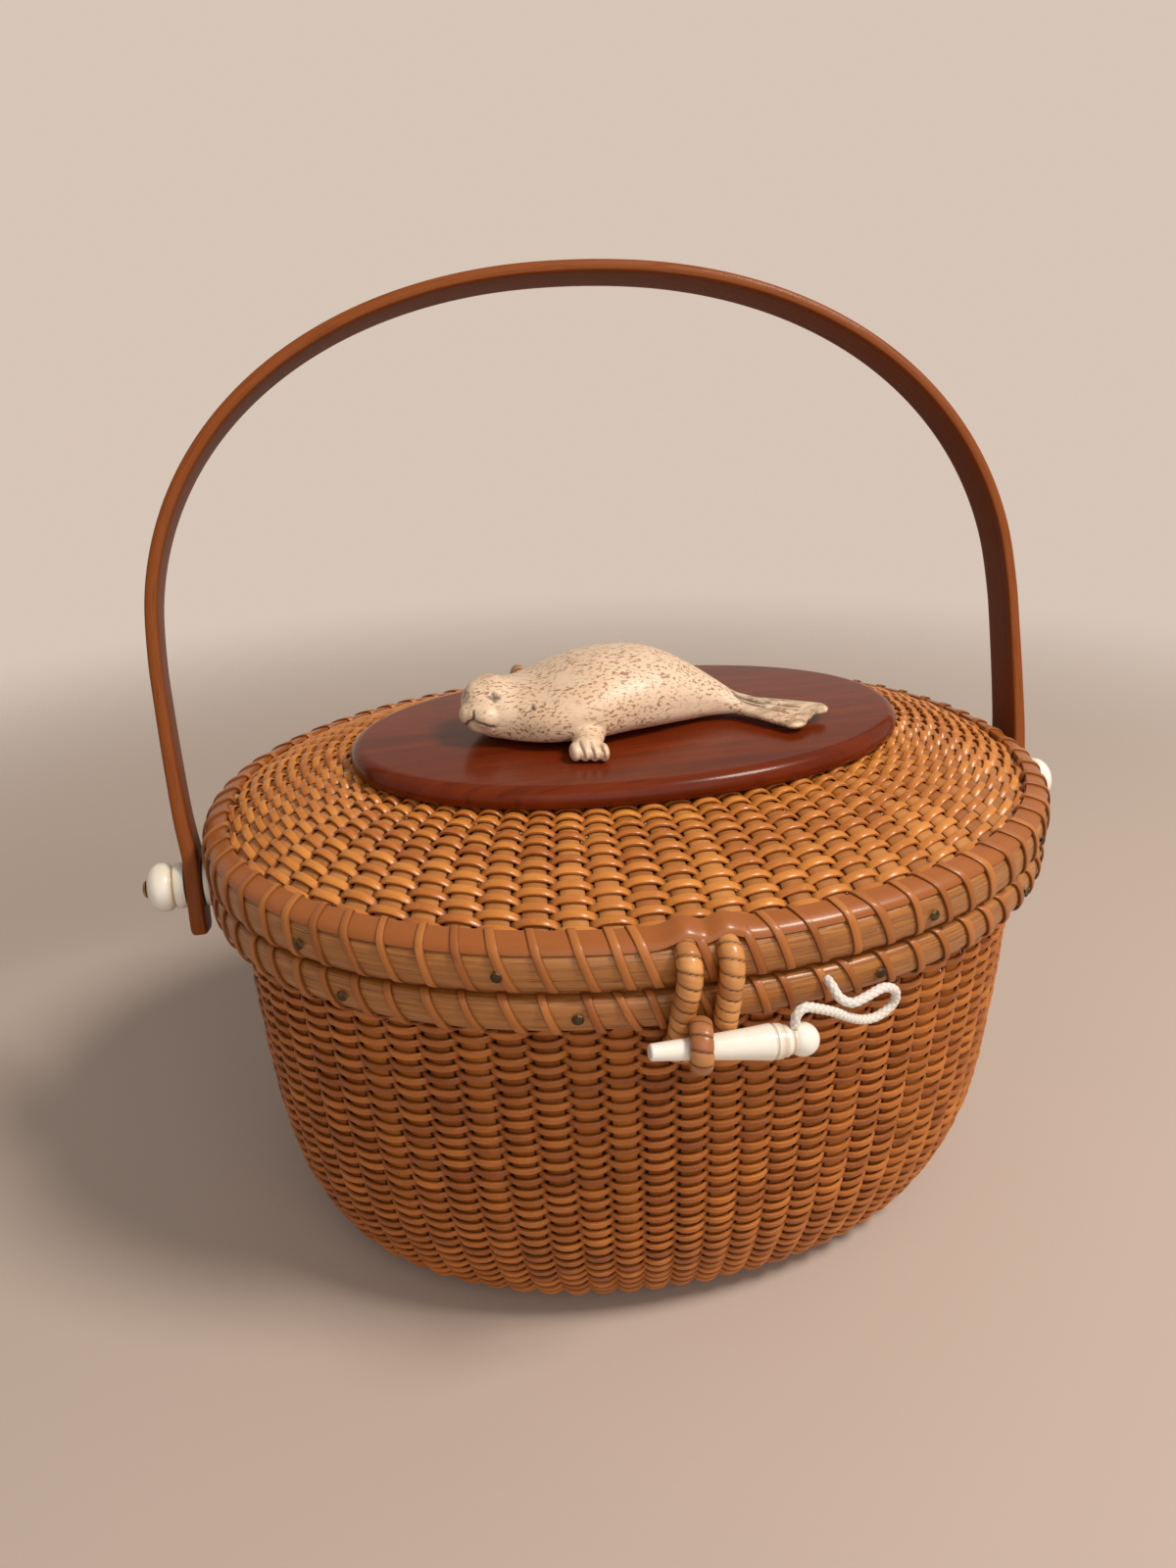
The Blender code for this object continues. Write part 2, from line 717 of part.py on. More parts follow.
def handle_stations():
    """Places up one arm, over the crown and down the other, in the handle's own plane.

    Each is (outer x, height over the pivot, thickness, width, outward direction).
    """
    rise = HANDLE_CROWN_START
    arm = []
    foot_shares = ((-1.0, 0.45), (-0.9, 0.78), (-0.62, 1.0), (0.55, 1.0))
    for tail_share, size_share in foot_shares:
        height = HANDLE_TAIL * tail_share
        thickness, width = HANDLE_FOOT_THICKNESS * size_share, HANDLE_FOOT_WIDTH * size_share
        inset = (HANDLE_FOOT_THICKNESS - thickness) / 2
        arm.append((HANDLE_FOOT_HALF_SPAN - inset, height, thickness, width))
    for share in (0.3, 0.55, 0.8):
        blend = math.sin(share * math.pi / 2)
        arm.append(
            (
                HANDLE_FOOT_HALF_SPAN + (HANDLE_HALF_SPAN - HANDLE_FOOT_HALF_SPAN) * blend,
                rise * share,
                HANDLE_FOOT_THICKNESS + (HANDLE_THICKNESS - HANDLE_FOOT_THICKNESS) * blend,
                HANDLE_FOOT_WIDTH + (HANDLE_WIDTH - HANDLE_FOOT_WIDTH) * blend,
            )
        )
    power = 2.0 / HANDLE_CROWN_SHARE
    crown = []
    crown_steps = 20
    for step in range(crown_steps + 1):
        angle = math.pi * step / crown_steps
        cosine, sine = math.cos(angle), math.sin(angle)
        x = HANDLE_HALF_SPAN * math.copysign(abs(cosine) ** power, cosine)
        height = rise + HANDLE_CROWN_RISE * abs(sine) ** power
        crown.append((x, height, HANDLE_THICKNESS, HANDLE_WIDTH))
    other_arm = [(-x, height, thickness, width) for x, height, thickness, width in arm[::-1]]
    return arm + crown + other_arm


def handle(look):
    stations = handle_stations()
    last = len(stations) - 1
    bm = bmesh.new()
    edges = None
    section_shares = ((0.0, 0.32), (0.28, 0.5), (0.72, 0.5), (1.0, 0.32))
    section_shares += tuple((deep, -wide) for deep, wide in section_shares[::-1])
    for index, (x, height, thickness, width) in enumerate(stations):
        before, after = stations[max(index - 1, 0)], stations[min(index + 1, last)]
        run = Vector((after[0] - before[0], 0.0, after[1] - before[1])).normalized()
        inward = Vector((-run.z, 0.0, run.x))
        if index < 4 or index > last - 4:
            inward = Vector((-math.copysign(1.0, x), 0.0, 0.0))
        ring = []
        for deep, wide in section_shares:
            point = Vector((x, 0.0, height)) + inward * (thickness * deep)
            ring.append(bm.verts.new(point + Vector((0.0, width * wide, 0.0))))
        loop = [bm.edges.new((ring[k - 1], ring[k])) for k in range(len(ring))]
        if edges is not None:
            bmesh.ops.bridge_loops(bm, edges=edges + loop)
        edges = loop
    bmesh.ops.holes_fill(bm, edges=bm.edges, sides=0)
    piece = finish("handle", bm, look)
    piece.data.transform(Matrix.Rotation(-HANDLE_LEAN_ANGLE, 4, "X"))
    piece.location = (0.0, 0.0, PIVOT_Z)
    return piece


def pivot(side_name, side, looks, handle_piece, walls):
    """Washer, knob, pin and inner burr of one handle pivot."""
    out = (side, 0.0, 0.0)
    wall_outer = HALF_LENGTH - BODY_RIM_INSET
    washer_start = HALF_LENGTH + GAP
    handle_inner = HANDLE_FOOT_HALF_SPAN - HANDLE_FOOT_THICKNESS
    handle_outer = HANDLE_FOOT_HALF_SPAN
    bore = PIN_RADIUS + PIN_CLEARANCE
    washer_end = washer_start + WASHER_THICKNESS
    centre = (0.0, 0.0, PIVOT_Z)
    soft = WASHER_THICKNESS * 0.25
    washer_profile = [
        (washer_start, bore),
        (washer_start, WASHER_RADIUS - soft),
        (washer_start + soft, WASHER_RADIUS),
        (washer_end - soft, WASHER_RADIUS),
        (washer_end, WASHER_RADIUS - soft),
        (washer_end, bore),
        (washer_start, bore),
    ]
    washer = place(turned(side_name + "_washer", washer_profile, looks["bone"]), centre, out)
    knob_start = handle_outer + GAP
    collar = knob_start + KNOB_COLLAR_LENGTH
    ball_length = KNOB_LENGTH - KNOB_COLLAR_LENGTH
    knob_profile = [
        (knob_start, bore),
        (knob_start, KNOB_COLLAR_RADIUS),
        (collar - soft, KNOB_COLLAR_RADIUS),
        (collar, KNOB_COLLAR_RADIUS * 0.93),
    ]
    for step in range(1, 6):
        angle = math.pi * step / 6
        knob_profile.append(
            (
                collar + ball_length * (1.0 - math.cos(angle)) / 2,
                KNOB_RADIUS * (0.35 + 0.65 * math.sin(angle)),
            )
        )
    knob_end = knob_start + KNOB_LENGTH
    knob_profile += [(knob_end, KNOB_RADIUS * 0.42), (knob_end, bore), (knob_start, bore)]
    knob = place(turned(side_name + "_knob", knob_profile, looks["bone"]), centre, out)
    wall_inner = HALF_LENGTH - WALL_INSET - WALL - INNER_HOOP_THICKNESS - GAP
    burr_start = wall_inner - GAP
    burr_profile = [
        (burr_start - BURR_THICKNESS, bore),
        (burr_start - BURR_THICKNESS, BURR_RADIUS),
        (burr_start, BURR_RADIUS),
        (burr_start, bore),
        (burr_start - BURR_THICKNESS, bore),
    ]
    burr = place(turned(side_name + "_burr", burr_profile, looks["brass"], 12), centre, out)
    inner_end = burr_start - BURR_THICKNESS - GAP
    pin_profile = [
        (inner_end - PIN_HEAD_HEIGHT, 0.0),
        (inner_end - PIN_HEAD_HEIGHT, PIN_RADIUS * 1.2),
        (inner_end, PIN_RADIUS * 1.8),
        (inner_end, PIN_RADIUS),
        (knob_end + GAP, PIN_RADIUS),
        (knob_end + GAP, PIN_HEAD_RADIUS),
        (knob_end + GAP + PIN_HEAD_HEIGHT * 0.6, PIN_HEAD_RADIUS * 0.8),
        (knob_end + GAP + PIN_HEAD_HEIGHT, 0.0),
    ]
    pin = place(turned(side_name + "_pin", pin_profile, looks["brass"], 12), centre, out)
    hole_profile = [
        (inner_end - OVERRUN, 0.0),
        (inner_end - OVERRUN, bore),
        (wall_outer + OVERRUN, bore),
        (wall_outer + OVERRUN, 0.0),
    ]
    hole = as_cutter(place(turned(side_name + "_pin_hole", hole_profile, looks["bone"], 12), centre, out))
    for wall in walls:
        boolean(wall, hole)
    eye_profile = [
        (handle_inner - OVERRUN, 0.0),
        (handle_inner - OVERRUN, bore),
        (handle_outer + OVERRUN, bore),
        (handle_outer + OVERRUN, 0.0),
    ]
    eye = turned(side_name + "_handle_eye", eye_profile, looks["bone"], 12)
    boolean(handle_piece, as_cutter(place(eye, centre, out)))
    return [washer, knob, burr, pin]


def hasp_path():
    """Closed route of the hasp: over both rims outside, through the lid wall, and back."""
    front = -oval_front(CLASP_X)
    wall_face = front + WALL_INSET
    bar_y = wall_face - TUBE_RADIUS - GAP * 1.5
    bulge_y = front - HASP_REACH
    bar_z = PARTING_HEIGHT - HASP_BAR_DROP
    over = LID_HOOP_TOP + TUBE_RADIUS + GAP
    inner_y = front + LID_WALL_INSET + WALL + INNER_HOOP_THICKNESS + TUBE_RADIUS + 2 * GAP
    inner_z = LID_HOOP_TOP - TUBE_RADIUS / 3
    leg = [
        (HASP_HALF_SPAN * 0.55, bar_y, bar_z),
        (HASP_HALF_SPAN, bar_y - TUBE_RADIUS * 0.55, bar_z + TUBE_RADIUS * 1.1),
        (HASP_HALF_SPAN, (bar_y + bulge_y) / 2 - TUBE_RADIUS * 0.75, bar_z + TUBE_RADIUS * 2.7),
        (HASP_HALF_SPAN, bulge_y, PARTING_HEIGHT - TUBE_RADIUS * 1.4),
        (HASP_HALF_SPAN, bulge_y - TUBE_RADIUS * 0.12, PARTING_HEIGHT + TUBE_RADIUS * 0.8),
        (HASP_TOP_HALF_SPAN, bulge_y + TUBE_RADIUS * 0.2, LID_HOOP_TOP - TUBE_RADIUS * 0.75),
        (HASP_TOP_HALF_SPAN, front + TUBE_RADIUS * 0.6, over + TUBE_RADIUS * 0.1),
        (HASP_TOP_HALF_SPAN, wall_face, over + TUBE_RADIUS * 0.1),
        (HASP_TOP_HALF_SPAN * 0.95, (wall_face + inner_y) / 2, (over + inner_z) / 2 + TUBE_RADIUS * 0.1),
        (HASP_TOP_HALF_SPAN * 0.6, inner_y, inner_z),
    ]
    right = [(CLASP_X + x, y, z) for x, y, z in leg]
    left = [(CLASP_X - x, y, z) for x, y, z in leg[::-1]]
    return smooth_path(right + left, 3, closed=True)


def staple(look, walls):
    """Ring for the peg, on a neck that comes out of the wall under the body's hoop."""
    centre = staple_centre()
    ring = ring_about_x("staple_loop", centre, STAPLE_RING_RADIUS, TUBE_RADIUS, look, 20)
    wall_face = -oval_front(CLASP_X) + WALL_INSET
    neck_z = PARTING_HEIGHT - STAPLE_NECK_DROP
    inside = Vector((CLASP_X, wall_face + WALL + OVERRUN, neck_z))
    drop = centre.z - neck_z
    reach = math.sqrt(STAPLE_RING_RADIUS**2 - drop**2)
    outside = Vector((CLASP_X, centre.y + reach, neck_z))
    neck = tube("staple_neck", [inside, outside], STAPLE_NECK_RADIUS, look)
    boolean(ring, as_cutter(neck), "UNION")
    beyond = Vector((0.0, OVERRUN, 0.0))
    hole_radius = STAPLE_NECK_RADIUS + GAP
    hole = tube("staple_hole", [inside + beyond, inside - beyond * 4], hole_radius, look)
    as_cutter(hole)
    for wall in walls:
        boolean(wall, hole)
    return ring


def staple_centre():
    front = -oval_front(CLASP_X)
    return Vector((CLASP_X, front - STAPLE_REACH, PARTING_HEIGHT - STAPLE_DROP))


def peg_place(along):
    """A point of the peg's axis, measured from its tip."""
    return staple_centre() + PEG_AXIS * (along - PEG_TIP_AHEAD)


def peg(look):
    grooves = PEG_LENGTH * PEG_GROOVES_SHARE
    collar = PEG_LENGTH * PEG_COLLAR_SHARE
    neck = PEG_LENGTH * PEG_NECK_SHARE
    step_length = (collar - grooves) / 4
    half_neck = CORD_DIAMETER / 2 + GAP
    profile = [
        (0.0, 0.0),
        (0.0, PEG_TIP_RADIUS * 0.85),
        (PEG_TIP_RADIUS * 0.15, PEG_TIP_RADIUS),
        (grooves - step_length, PEG_RADIUS),
        (grooves, PEG_GROOVE_RADIUS),
        (grooves + step_length, PEG_RADIUS),
        (grooves + 2.6 * step_length, PEG_RADIUS * 0.95),
        (collar, PEG_GROOVE_RADIUS),
        (neck - half_neck, PEG_NECK_RADIUS),
        (neck + half_neck, PEG_NECK_RADIUS),
    ]
    centre = PEG_LENGTH - PEG_BALL_RADIUS
    for step in range(2, 7):
        angle = math.pi * step / 7
        profile.append((centre - PEG_BALL_RADIUS * math.cos(angle), PEG_BALL_RADIUS * math.sin(angle)))
    profile.append((PEG_LENGTH, 0.0))
    return place(turned("peg", profile, look, 16), peg_place(0.0), PEG_AXIS)


def tether_cord(look):
    """A curve with a round bevel and filled caps, on a polyline of smooth points."""
    path = smooth_path(CORD_ROUTE, CORD_STEPS)
    data = bpy.data.curves.new("tether_cord", "CURVE")
    data.dimensions = "3D"
    spline = data.splines.new("POLY")
    spline.points.add(len(path) - 1)
    for point, place_on in zip(spline.points, path):
        point.co = (*place_on, 1.0)
    data.bevel_depth = CORD_DIAMETER / 2
    data.bevel_resolution = 2
    data.use_fill_caps = True
    data.materials.append(look)
    piece = bpy.data.objects.new("tether_cord", data)
    bpy.context.collection.objects.link(piece)
    return piece


def nail(name, x, z, side, hoop, inset, look):
    """A round-headed nail driven square into the bulge of a hoop."""
    reach = oval_front(x, inset)
    slope = 2.0 * math.copysign(abs(x) ** (OVAL_POWER_SHARE - 1.0), x)
    slope *= 1.0 / (HALF_LENGTH - inset) ** OVAL_POWER_SHARE
    rise = 2.0 * reach ** (OVAL_POWER_SHARE - 1.0) / (HALF_WIDTH - inset) ** OVAL_POWER_SHARE
    outward = Vector((slope, side * rise, 0.0)).normalized()
    head = Vector((x, side * reach, z)) + outward * (GAP * 2)
    profile = [
        (-NAIL_LENGTH, 0.0),
        (0.0, NAIL_SHANK_RADIUS),
        (0.0, NAIL_HEAD_RADIUS),
        (NAIL_HEAD_HEIGHT * 0.6, NAIL_HEAD_RADIUS * 0.8),
        (NAIL_HEAD_HEIGHT, 0.0),
    ]
    piece = place(turned(name, profile, look, 8), head, outward)
    hole_profile = [
        (-NAIL_LENGTH - GAP, 0.0),
        (-NAIL_LENGTH - GAP, NAIL_SHANK_RADIUS + GAP),
        (OVERRUN, NAIL_SHANK_RADIUS + GAP),
        (OVERRUN, 0.0),
    ]
    hole = as_cutter(place(turned(name + "_hole", hole_profile, look, 8), head, outward))
    boolean(hoop, hole)
    return piece


def looks_table():
    return {
        "base": material("maple_board", (0.42, 0.21, 0.09), 0.45),
        "weave": material("cane_weave", (0.42, 0.17, 0.06), 0.5),
        "lid_weave": material("lid_cane_weave", (0.60, 0.28, 0.09), 0.45),
        "hoop": material("hoop_wood", (0.47, 0.29, 0.13), 0.5),
        "strip": material("cane_strip", (0.50, 0.22, 0.08), 0.4),
        "pale": material("pale_reed", (0.62, 0.42, 0.22), 0.5),
        "plaque": material("plaque_wood", (0.16, 0.035, 0.012), 0.2),
        "bone": material("turned_bone", (0.80, 0.72, 0.58), 0.3),
        "seal": material("carved_bone", (0.78, 0.66, 0.48), 0.4),
        "handle": material("handle_cherry", (0.40, 0.17, 0.06), 0.35),
        "brass": material("aged_brass", (0.30, 0.22, 0.10), 0.4, 0.9),
        "nail": material("dark_nail", (0.05, 0.045, 0.04), 0.5, 0.7),
        "wrap": material("cane_wrap", (0.52, 0.25, 0.10), 0.4),
        "cord": material("white_cord", (0.80, 0.76, 0.70), 0.7),
    }


def main():
    clear_scene()
    looks = looks_table()
    base_board(looks["base"])
    body = body_weave(looks["weave"])
    outer_profile = half_round(BODY_RIM_INSET, BODY_HOOP_FLOOR, BODY_HOOP_HEIGHT, HOOP_THICKNESS)
    outer_hoop = oval_loft("body_outer_hoop", rim_sections(outer_profile), looks["hoop"], True)
    inner_inset = WALL_INSET + WALL + GAP
    inner_floor = BODY_HOOP_TOP - INNER_HOOP_HEIGHT
    inner_profile = half_round(
        inner_inset, inner_floor, INNER_HOOP_HEIGHT, INNER_HOOP_THICKNESS, outward=False
    )
    inner_hoop = oval_loft("body_inner_hoop", rim_sections(inner_profile), looks["hoop"], True)
    liner_floor = BODY_HOOP_FLOOR - LINER_SHOW
    liner_profile = [
        (LINER_INSET, liner_floor),
        (LINER_INSET, BODY_HOOP_TOP),
        (LINER_INSET + LINER_THICKNESS, BODY_HOOP_TOP),
        (LINER_INSET + LINER_THICKNESS, liner_floor),
    ]
    liner = oval_loft("body_rim_liner", rim_sections(liner_profile), looks["pale"], True)
    cap_inner = inner_inset + INNER_HOOP_THICKNESS * 0.8
    cap_floor = PARTING_HEIGHT - RIM_CAP_THICKNESS
    cap_profile = [
        (RIM_CAP_EDGE, cap_floor),
        (RIM_CAP_EDGE, PARTING_HEIGHT),
        (cap_inner, PARTING_HEIGHT),
        (cap_inner, cap_floor),
    ]
    oval_loft("body_rim_cap", rim_sections(cap_profile), looks["strip"], True)

    lid = lid_weave(looks["lid_weave"])
    lid_profile = half_round(0.0, LID_FLOOR, HOOP_HEIGHT, HOOP_THICKNESS)
    lid_hoop = oval_loft("lid_outer_hoop", rim_sections(lid_profile), looks["hoop"], True)
    lid_inner_inset = LID_WALL_INSET + WALL + GAP
    lid_inner_profile = half_round(
        lid_inner_inset, LID_FLOOR, INNER_HOOP_HEIGHT, INNER_HOOP_THICKNESS, outward=False
    )
    oval_loft("lid_inner_hoop", rim_sections(lid_inner_profile), looks["hoop"], True)
    strip_start = HOOP_THICKNESS * 0.24
    strip_floor = LID_HOOP_TOP + GAP
    strip_profile = [
        (strip_start, strip_floor),
        (strip_start, strip_floor + CAP_STRIP_THICKNESS),
        (strip_start + CAP_STRIP_WIDTH, strip_floor + CAP_STRIP_THICKNESS + CAP_STRIP_RISE),
        (strip_start + CAP_STRIP_WIDTH, strip_floor + CAP_STRIP_RISE),
    ]
    strip = oval_loft("lid_cap_strip", rim_sections(strip_profile), looks["strip"], True)
    board = lid_board(looks["base"])
    plate = plaque(looks["plaque"])
    for side_name, side in (("left", -1.0), ("right", 1.0)):
        plaque_screw(side_name, side * SCREW_SPACING / 2, looks["brass"], board, plate)
    seal(looks["seal"])

    handle_piece = handle(looks["handle"])
    for side_name, side in (("left", -1.0), ("right", 1.0)):
        pivot(side_name, side, looks, handle_piece, (outer_hoop, liner, body, inner_hoop))

    path = hasp_path()
    tube("hasp_loop", path, TUBE_RADIUS, looks["wrap"], closed=True)
    hasp_hole = as_cutter(tube("hasp_hole", path, TUBE_RADIUS + GAP, looks["wrap"], closed=True))
    boolean(lid, hasp_hole)
    notch_width = 2 * (HASP_HALF_SPAN + TUBE_RADIUS + GAP)
    bm = bmesh.new()
    bmesh.ops.create_cube(bm, size=1.0)
    bmesh.ops.scale(bm, vec=(notch_width, HALF_WIDTH / 3, HALF_WIDTH / 3), verts=bm.verts)
    notch_place = (CLASP_X, -oval_front(CLASP_X), LID_HOOP_TOP)
    bmesh.ops.translate(bm, vec=notch_place, verts=bm.verts)
    notch = as_cutter(finish("cap_strip_notch", bm, looks["strip"], smooth=False))
    boolean(strip, notch)
    staple(looks["wrap"], (body,))
    peg(looks["bone"])
    tether_cord(looks["cord"])

    for side_name, side in (("left", -1.0), ("right", 1.0)):
        centre = (side * HINGE_RING_X, HINGE_Y, HINGE_Z)
        ring = ring_about_x(
            side_name + "_hinge_ring", centre, HINGE_RING_RADIUS, HINGE_TUBE_RADIUS, looks["wrap"]
        )
        hole_radius = HINGE_TUBE_RADIUS + HINGE_CLEARANCE
        hole = ring_about_x(
            side_name + "_hinge_hole", centre, HINGE_RING_RADIUS, hole_radius, ring.data.materials[0]
        )
        as_cutter(hole)
        for pierced in (lid, body, liner, strip):
            boolean(pierced, hole)

    lid_nail_z = LID_FLOOR + HOOP_HEIGHT * 0.5
    body_nail_z = BODY_HOOP_FLOOR + BODY_HOOP_HEIGHT * 0.5
    for side_name, side in (("front", -1.0), ("back", 1.0)):
        for number, share in enumerate(LID_NAIL_SHARES, 1):
            name = f"lid_nail_{side_name}_{number}"
            nail(name, HALF_LENGTH * share, lid_nail_z, side, lid_hoop, 0.0, looks["nail"])
        for number, share in enumerate(BODY_NAIL_SHARES, 1):
            name = f"body_nail_{side_name}_{number}"
            x = HALF_LENGTH * share
            nail(name, x, body_nail_z, side, outer_hoop, BODY_RIM_INSET, looks["nail"])


main()
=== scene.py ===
"""Looks of an oval lidded basket purse: woven cane walls, lashed oak hoops, a lacquered
plaque with a carved seal, a bent handle on turned knobs, and a wrapped hasp with a peg.
"""
import json
import math

import bmesh
import bpy
import numpy as np
from bpy.props import FloatProperty, FloatVectorProperty, IntProperty, PointerProperty
from mathutils import Matrix, Vector


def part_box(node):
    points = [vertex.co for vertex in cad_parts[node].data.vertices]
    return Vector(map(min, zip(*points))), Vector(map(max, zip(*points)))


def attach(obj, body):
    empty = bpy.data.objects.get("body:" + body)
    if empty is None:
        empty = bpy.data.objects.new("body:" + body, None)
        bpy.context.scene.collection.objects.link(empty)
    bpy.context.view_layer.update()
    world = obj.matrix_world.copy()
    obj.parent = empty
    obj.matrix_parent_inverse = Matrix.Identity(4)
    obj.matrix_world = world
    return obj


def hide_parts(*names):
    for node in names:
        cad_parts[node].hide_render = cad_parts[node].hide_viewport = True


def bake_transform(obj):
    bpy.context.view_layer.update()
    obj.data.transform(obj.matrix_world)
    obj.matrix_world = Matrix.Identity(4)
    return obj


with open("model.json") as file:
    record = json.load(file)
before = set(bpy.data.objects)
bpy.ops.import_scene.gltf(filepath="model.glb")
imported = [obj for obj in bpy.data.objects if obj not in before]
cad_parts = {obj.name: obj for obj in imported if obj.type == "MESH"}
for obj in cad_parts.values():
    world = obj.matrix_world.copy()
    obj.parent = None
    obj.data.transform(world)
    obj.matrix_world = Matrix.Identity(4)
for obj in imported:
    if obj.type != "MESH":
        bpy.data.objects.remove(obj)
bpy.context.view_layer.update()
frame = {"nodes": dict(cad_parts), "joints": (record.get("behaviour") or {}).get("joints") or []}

bl_info = {
    "name": "Oval Lidded Basket",
    "version": (1, 0, 0),
    "blender": (4, 5, 0),
    "location": "View3D > Sidebar > Basket",
    "description": "Woven body and lid, lashed rims, carved seal, handle and clasp of a basket purse",
    "category": "Add Mesh",
}

GAP = 0.0003


def length(name, text, default):
    return FloatProperty(name=name, description=text, default=default, min=0.0, unit="LENGTH", precision=5)


def share(name, text, default):
    return FloatProperty(name=name, description=text, default=default, min=0.0, max=1.0)


def colour(name, text, default):
    return FloatVectorProperty(
        name=name, description=text, default=default, size=3, min=0.0, max=1.0, subtype="COLOR"
    )


class BasketSizes(bpy.types.PropertyGroup):
    half_length: length("Half length", "Half of the rim's length", 0.115)
    half_width: length("Half width", "Half of the rim's width", 0.091)
    oval_power: FloatProperty(name="Oval power", description="2 is an ellipse", default=2.1)
    parting: length("Parting height", "Height of the joint of lid and body", 0.112)
    wall_inset: length("Wall inset", "From the rim's outside to the woven wall", 0.0066)
    wall: length("Wall", "Thickness of the woven wall", 0.0022)
    lower_inset: length("Lower inset", "How far the wall draws in low down", 0.0046)
    belly_inset: length("Belly inset", "How far the wall draws in at half height", 0.0016)
    heel_inset: length("Heel inset", "How far the rounded heel draws in", 0.0105)
    base_inset: length("Base inset", "From the rim's outside to the base board's edge", 0.031)
    dome_inset: length("Dome inset", "Where the lid's dome leaves the rim", 0.0064)
    dome_rise: length("Dome start", "Height of the dome's edge over the joint", 0.0116)
    plaque_rise: length("Plaque rise", "Height of the dome's top over the joint", 0.0219)
    dome_power: FloatProperty(name="Dome power", description="How fast the dome levels out", default=2.3)
    board_half_length: length("Lid board half length", "Half length of the board in the lid", 0.066)
    board_half_width: length("Lid board half width", "Half width of the board in the lid", 0.037)


class WeaveSizes(bpy.types.PropertyGroup):
    staves: IntProperty(name="Staves", description="Upright staves round the basket", default=70, min=8)
    lashings: IntProperty(name="Lashings", description="Lashings round each rim", default=76, min=8)
    body_pitch: length("Body row pitch", "Height of one woven row of the body", 0.00169)
    lid_pitch: length("Lid row pitch", "Width of one woven row of the lid", 0.00202)
    weaver_thickness: length("Weaver thickness", "Thickness of the cane weavers", 0.0007)
    weaver_fill: share("Weaver fill", "Width of a weaver as a share of its row", 0.98)
    stave_fill: share("Stave fill", "Width of a stave as a share of its place", 0.68)
    stave_thickness: length("Stave thickness", "Thickness of a stave", 0.0012)
    swing: length("Weaver swing", "How far a weaver goes in and out", 0.00142)
    depth: length("Weave depth", "Depth of the weave's middle under its outer face", 0.0013)
    rim_fan: FloatProperty(name="Rim fan", description="Spread of the staves along the front", default=-0.04)
    base_fan: FloatProperty(name="Base fan", description="The same at the base board", default=-0.14)
    board_fan: FloatProperty(name="Lid board fan", description="The same at the lid's board", default=0.19)


class RimSizes(bpy.types.PropertyGroup):
    hoop_height: length("Lid hoop height", "Height of the lid's outer hoop", 0.0095)
    body_hoop_height: length("Body hoop height", "Height of the body's outer hoop", 0.0085)
    hoop_thickness: length("Hoop thickness", "Thickness of the outer hoops", 0.005)
    inner_height: length("Inner hoop height", "Height of the inner hoops", 0.005)
    inner_thickness: length("Inner hoop thickness", "Thickness of the inner hoops", 0.0025)
    cap_thickness: length("Cap strip thickness", "Thickness of the strips over the hoops", 0.001)
    lashing_width: length("Lashing width", "Width of the lashing cane", 0.0021)
    lashing_thickness: length("Lashing thickness", "Thickness of the lashing cane", 0.0006)
    lashing_drift: length("Lashing drift", "How far a lashing leans along the rim", 0.0074)


class ClaspSizes(bpy.types.PropertyGroup):
    clasp_x: FloatProperty(name="Clasp X", description="Place of the clasp along X", default=-0.0085)
    tube: length("Wrapped bar radius", "Radius of the cane-wrapped bars", 0.0025)
    wrap_pitch: length("Wrap pitch", "Width of one turn of the wrapping", 0.0027)
    cord_diameter: length("Cord diameter", "Diameter of the peg's cord", 0.0022)


class BasketColours(bpy.types.PropertyGroup):
    body_dark: colour("Body dark", "Darkest weavers of the body", (0.24, 0.061, 0.0085))
    body_light: colour("Body light", "Lightest weavers of the body", (0.56, 0.183, 0.029))
    lid_dark: colour("Lid dark", "Darkest weavers of the lid", (0.37, 0.097, 0.014))
    lid_light: colour("Lid light", "Lightest weavers of the lid", (0.70, 0.27, 0.046))
    stave_dark: colour("Stave dark", "Darkest staves", (0.35, 0.112, 0.022))
    stave_light: colour("Stave light", "Lightest staves", (0.64, 0.27, 0.070))
    hoop: colour("Hoop wood", "Oak of the hoops", (0.385, 0.140, 0.026))
    strip: colour("Cap strip", "Smooth cane on the rims", (0.38, 0.110, 0.020))
    plaque: colour("Plaque", "Lacquered plaque", (0.125, 0.0135, 0.0020))
    bone: colour("Turned bone", "Peg, knobs and washers", (0.88, 0.84, 0.76))
    seal: colour("Seal", "Carved seal", (0.80, 0.60, 0.435))
    handle: colour("Handle", "Bent handle", (0.20, 0.046, 0.0065))


class Value:
    """A shader socket that adds its own Math nodes when it is used in an expression."""

    def __init__(self, look, socket):
        self.look, self.socket = look, socket

    def math(self, operation, other, swapped=False):
        first, second = (other, self) if swapped else (self, other)
        return self.look.add("ShaderNodeMath", {"operation": operation}, {0: first, 1: second})

    def __add__(self, other):
        return self.math("ADD", other)

    def __sub__(self, other):
        return self.math("SUBTRACT", other)

    def __rsub__(self, other):
        return self.math("SUBTRACT", other, swapped=True)

    def __mul__(self, other):
        return self.math("MULTIPLY", other)

    def step(self, low, high):
        """0 under low, 1 over high, smooth between."""
        sockets = {"Value": self, "From Min": low, "From Max": high}
        return self.look.add("ShaderNodeMapRange", {"interpolation_type": "SMOOTHSTEP"}, sockets)

    def clamp(self):
        return self.look.add("ShaderNodeClamp", {}, {"Value": self})


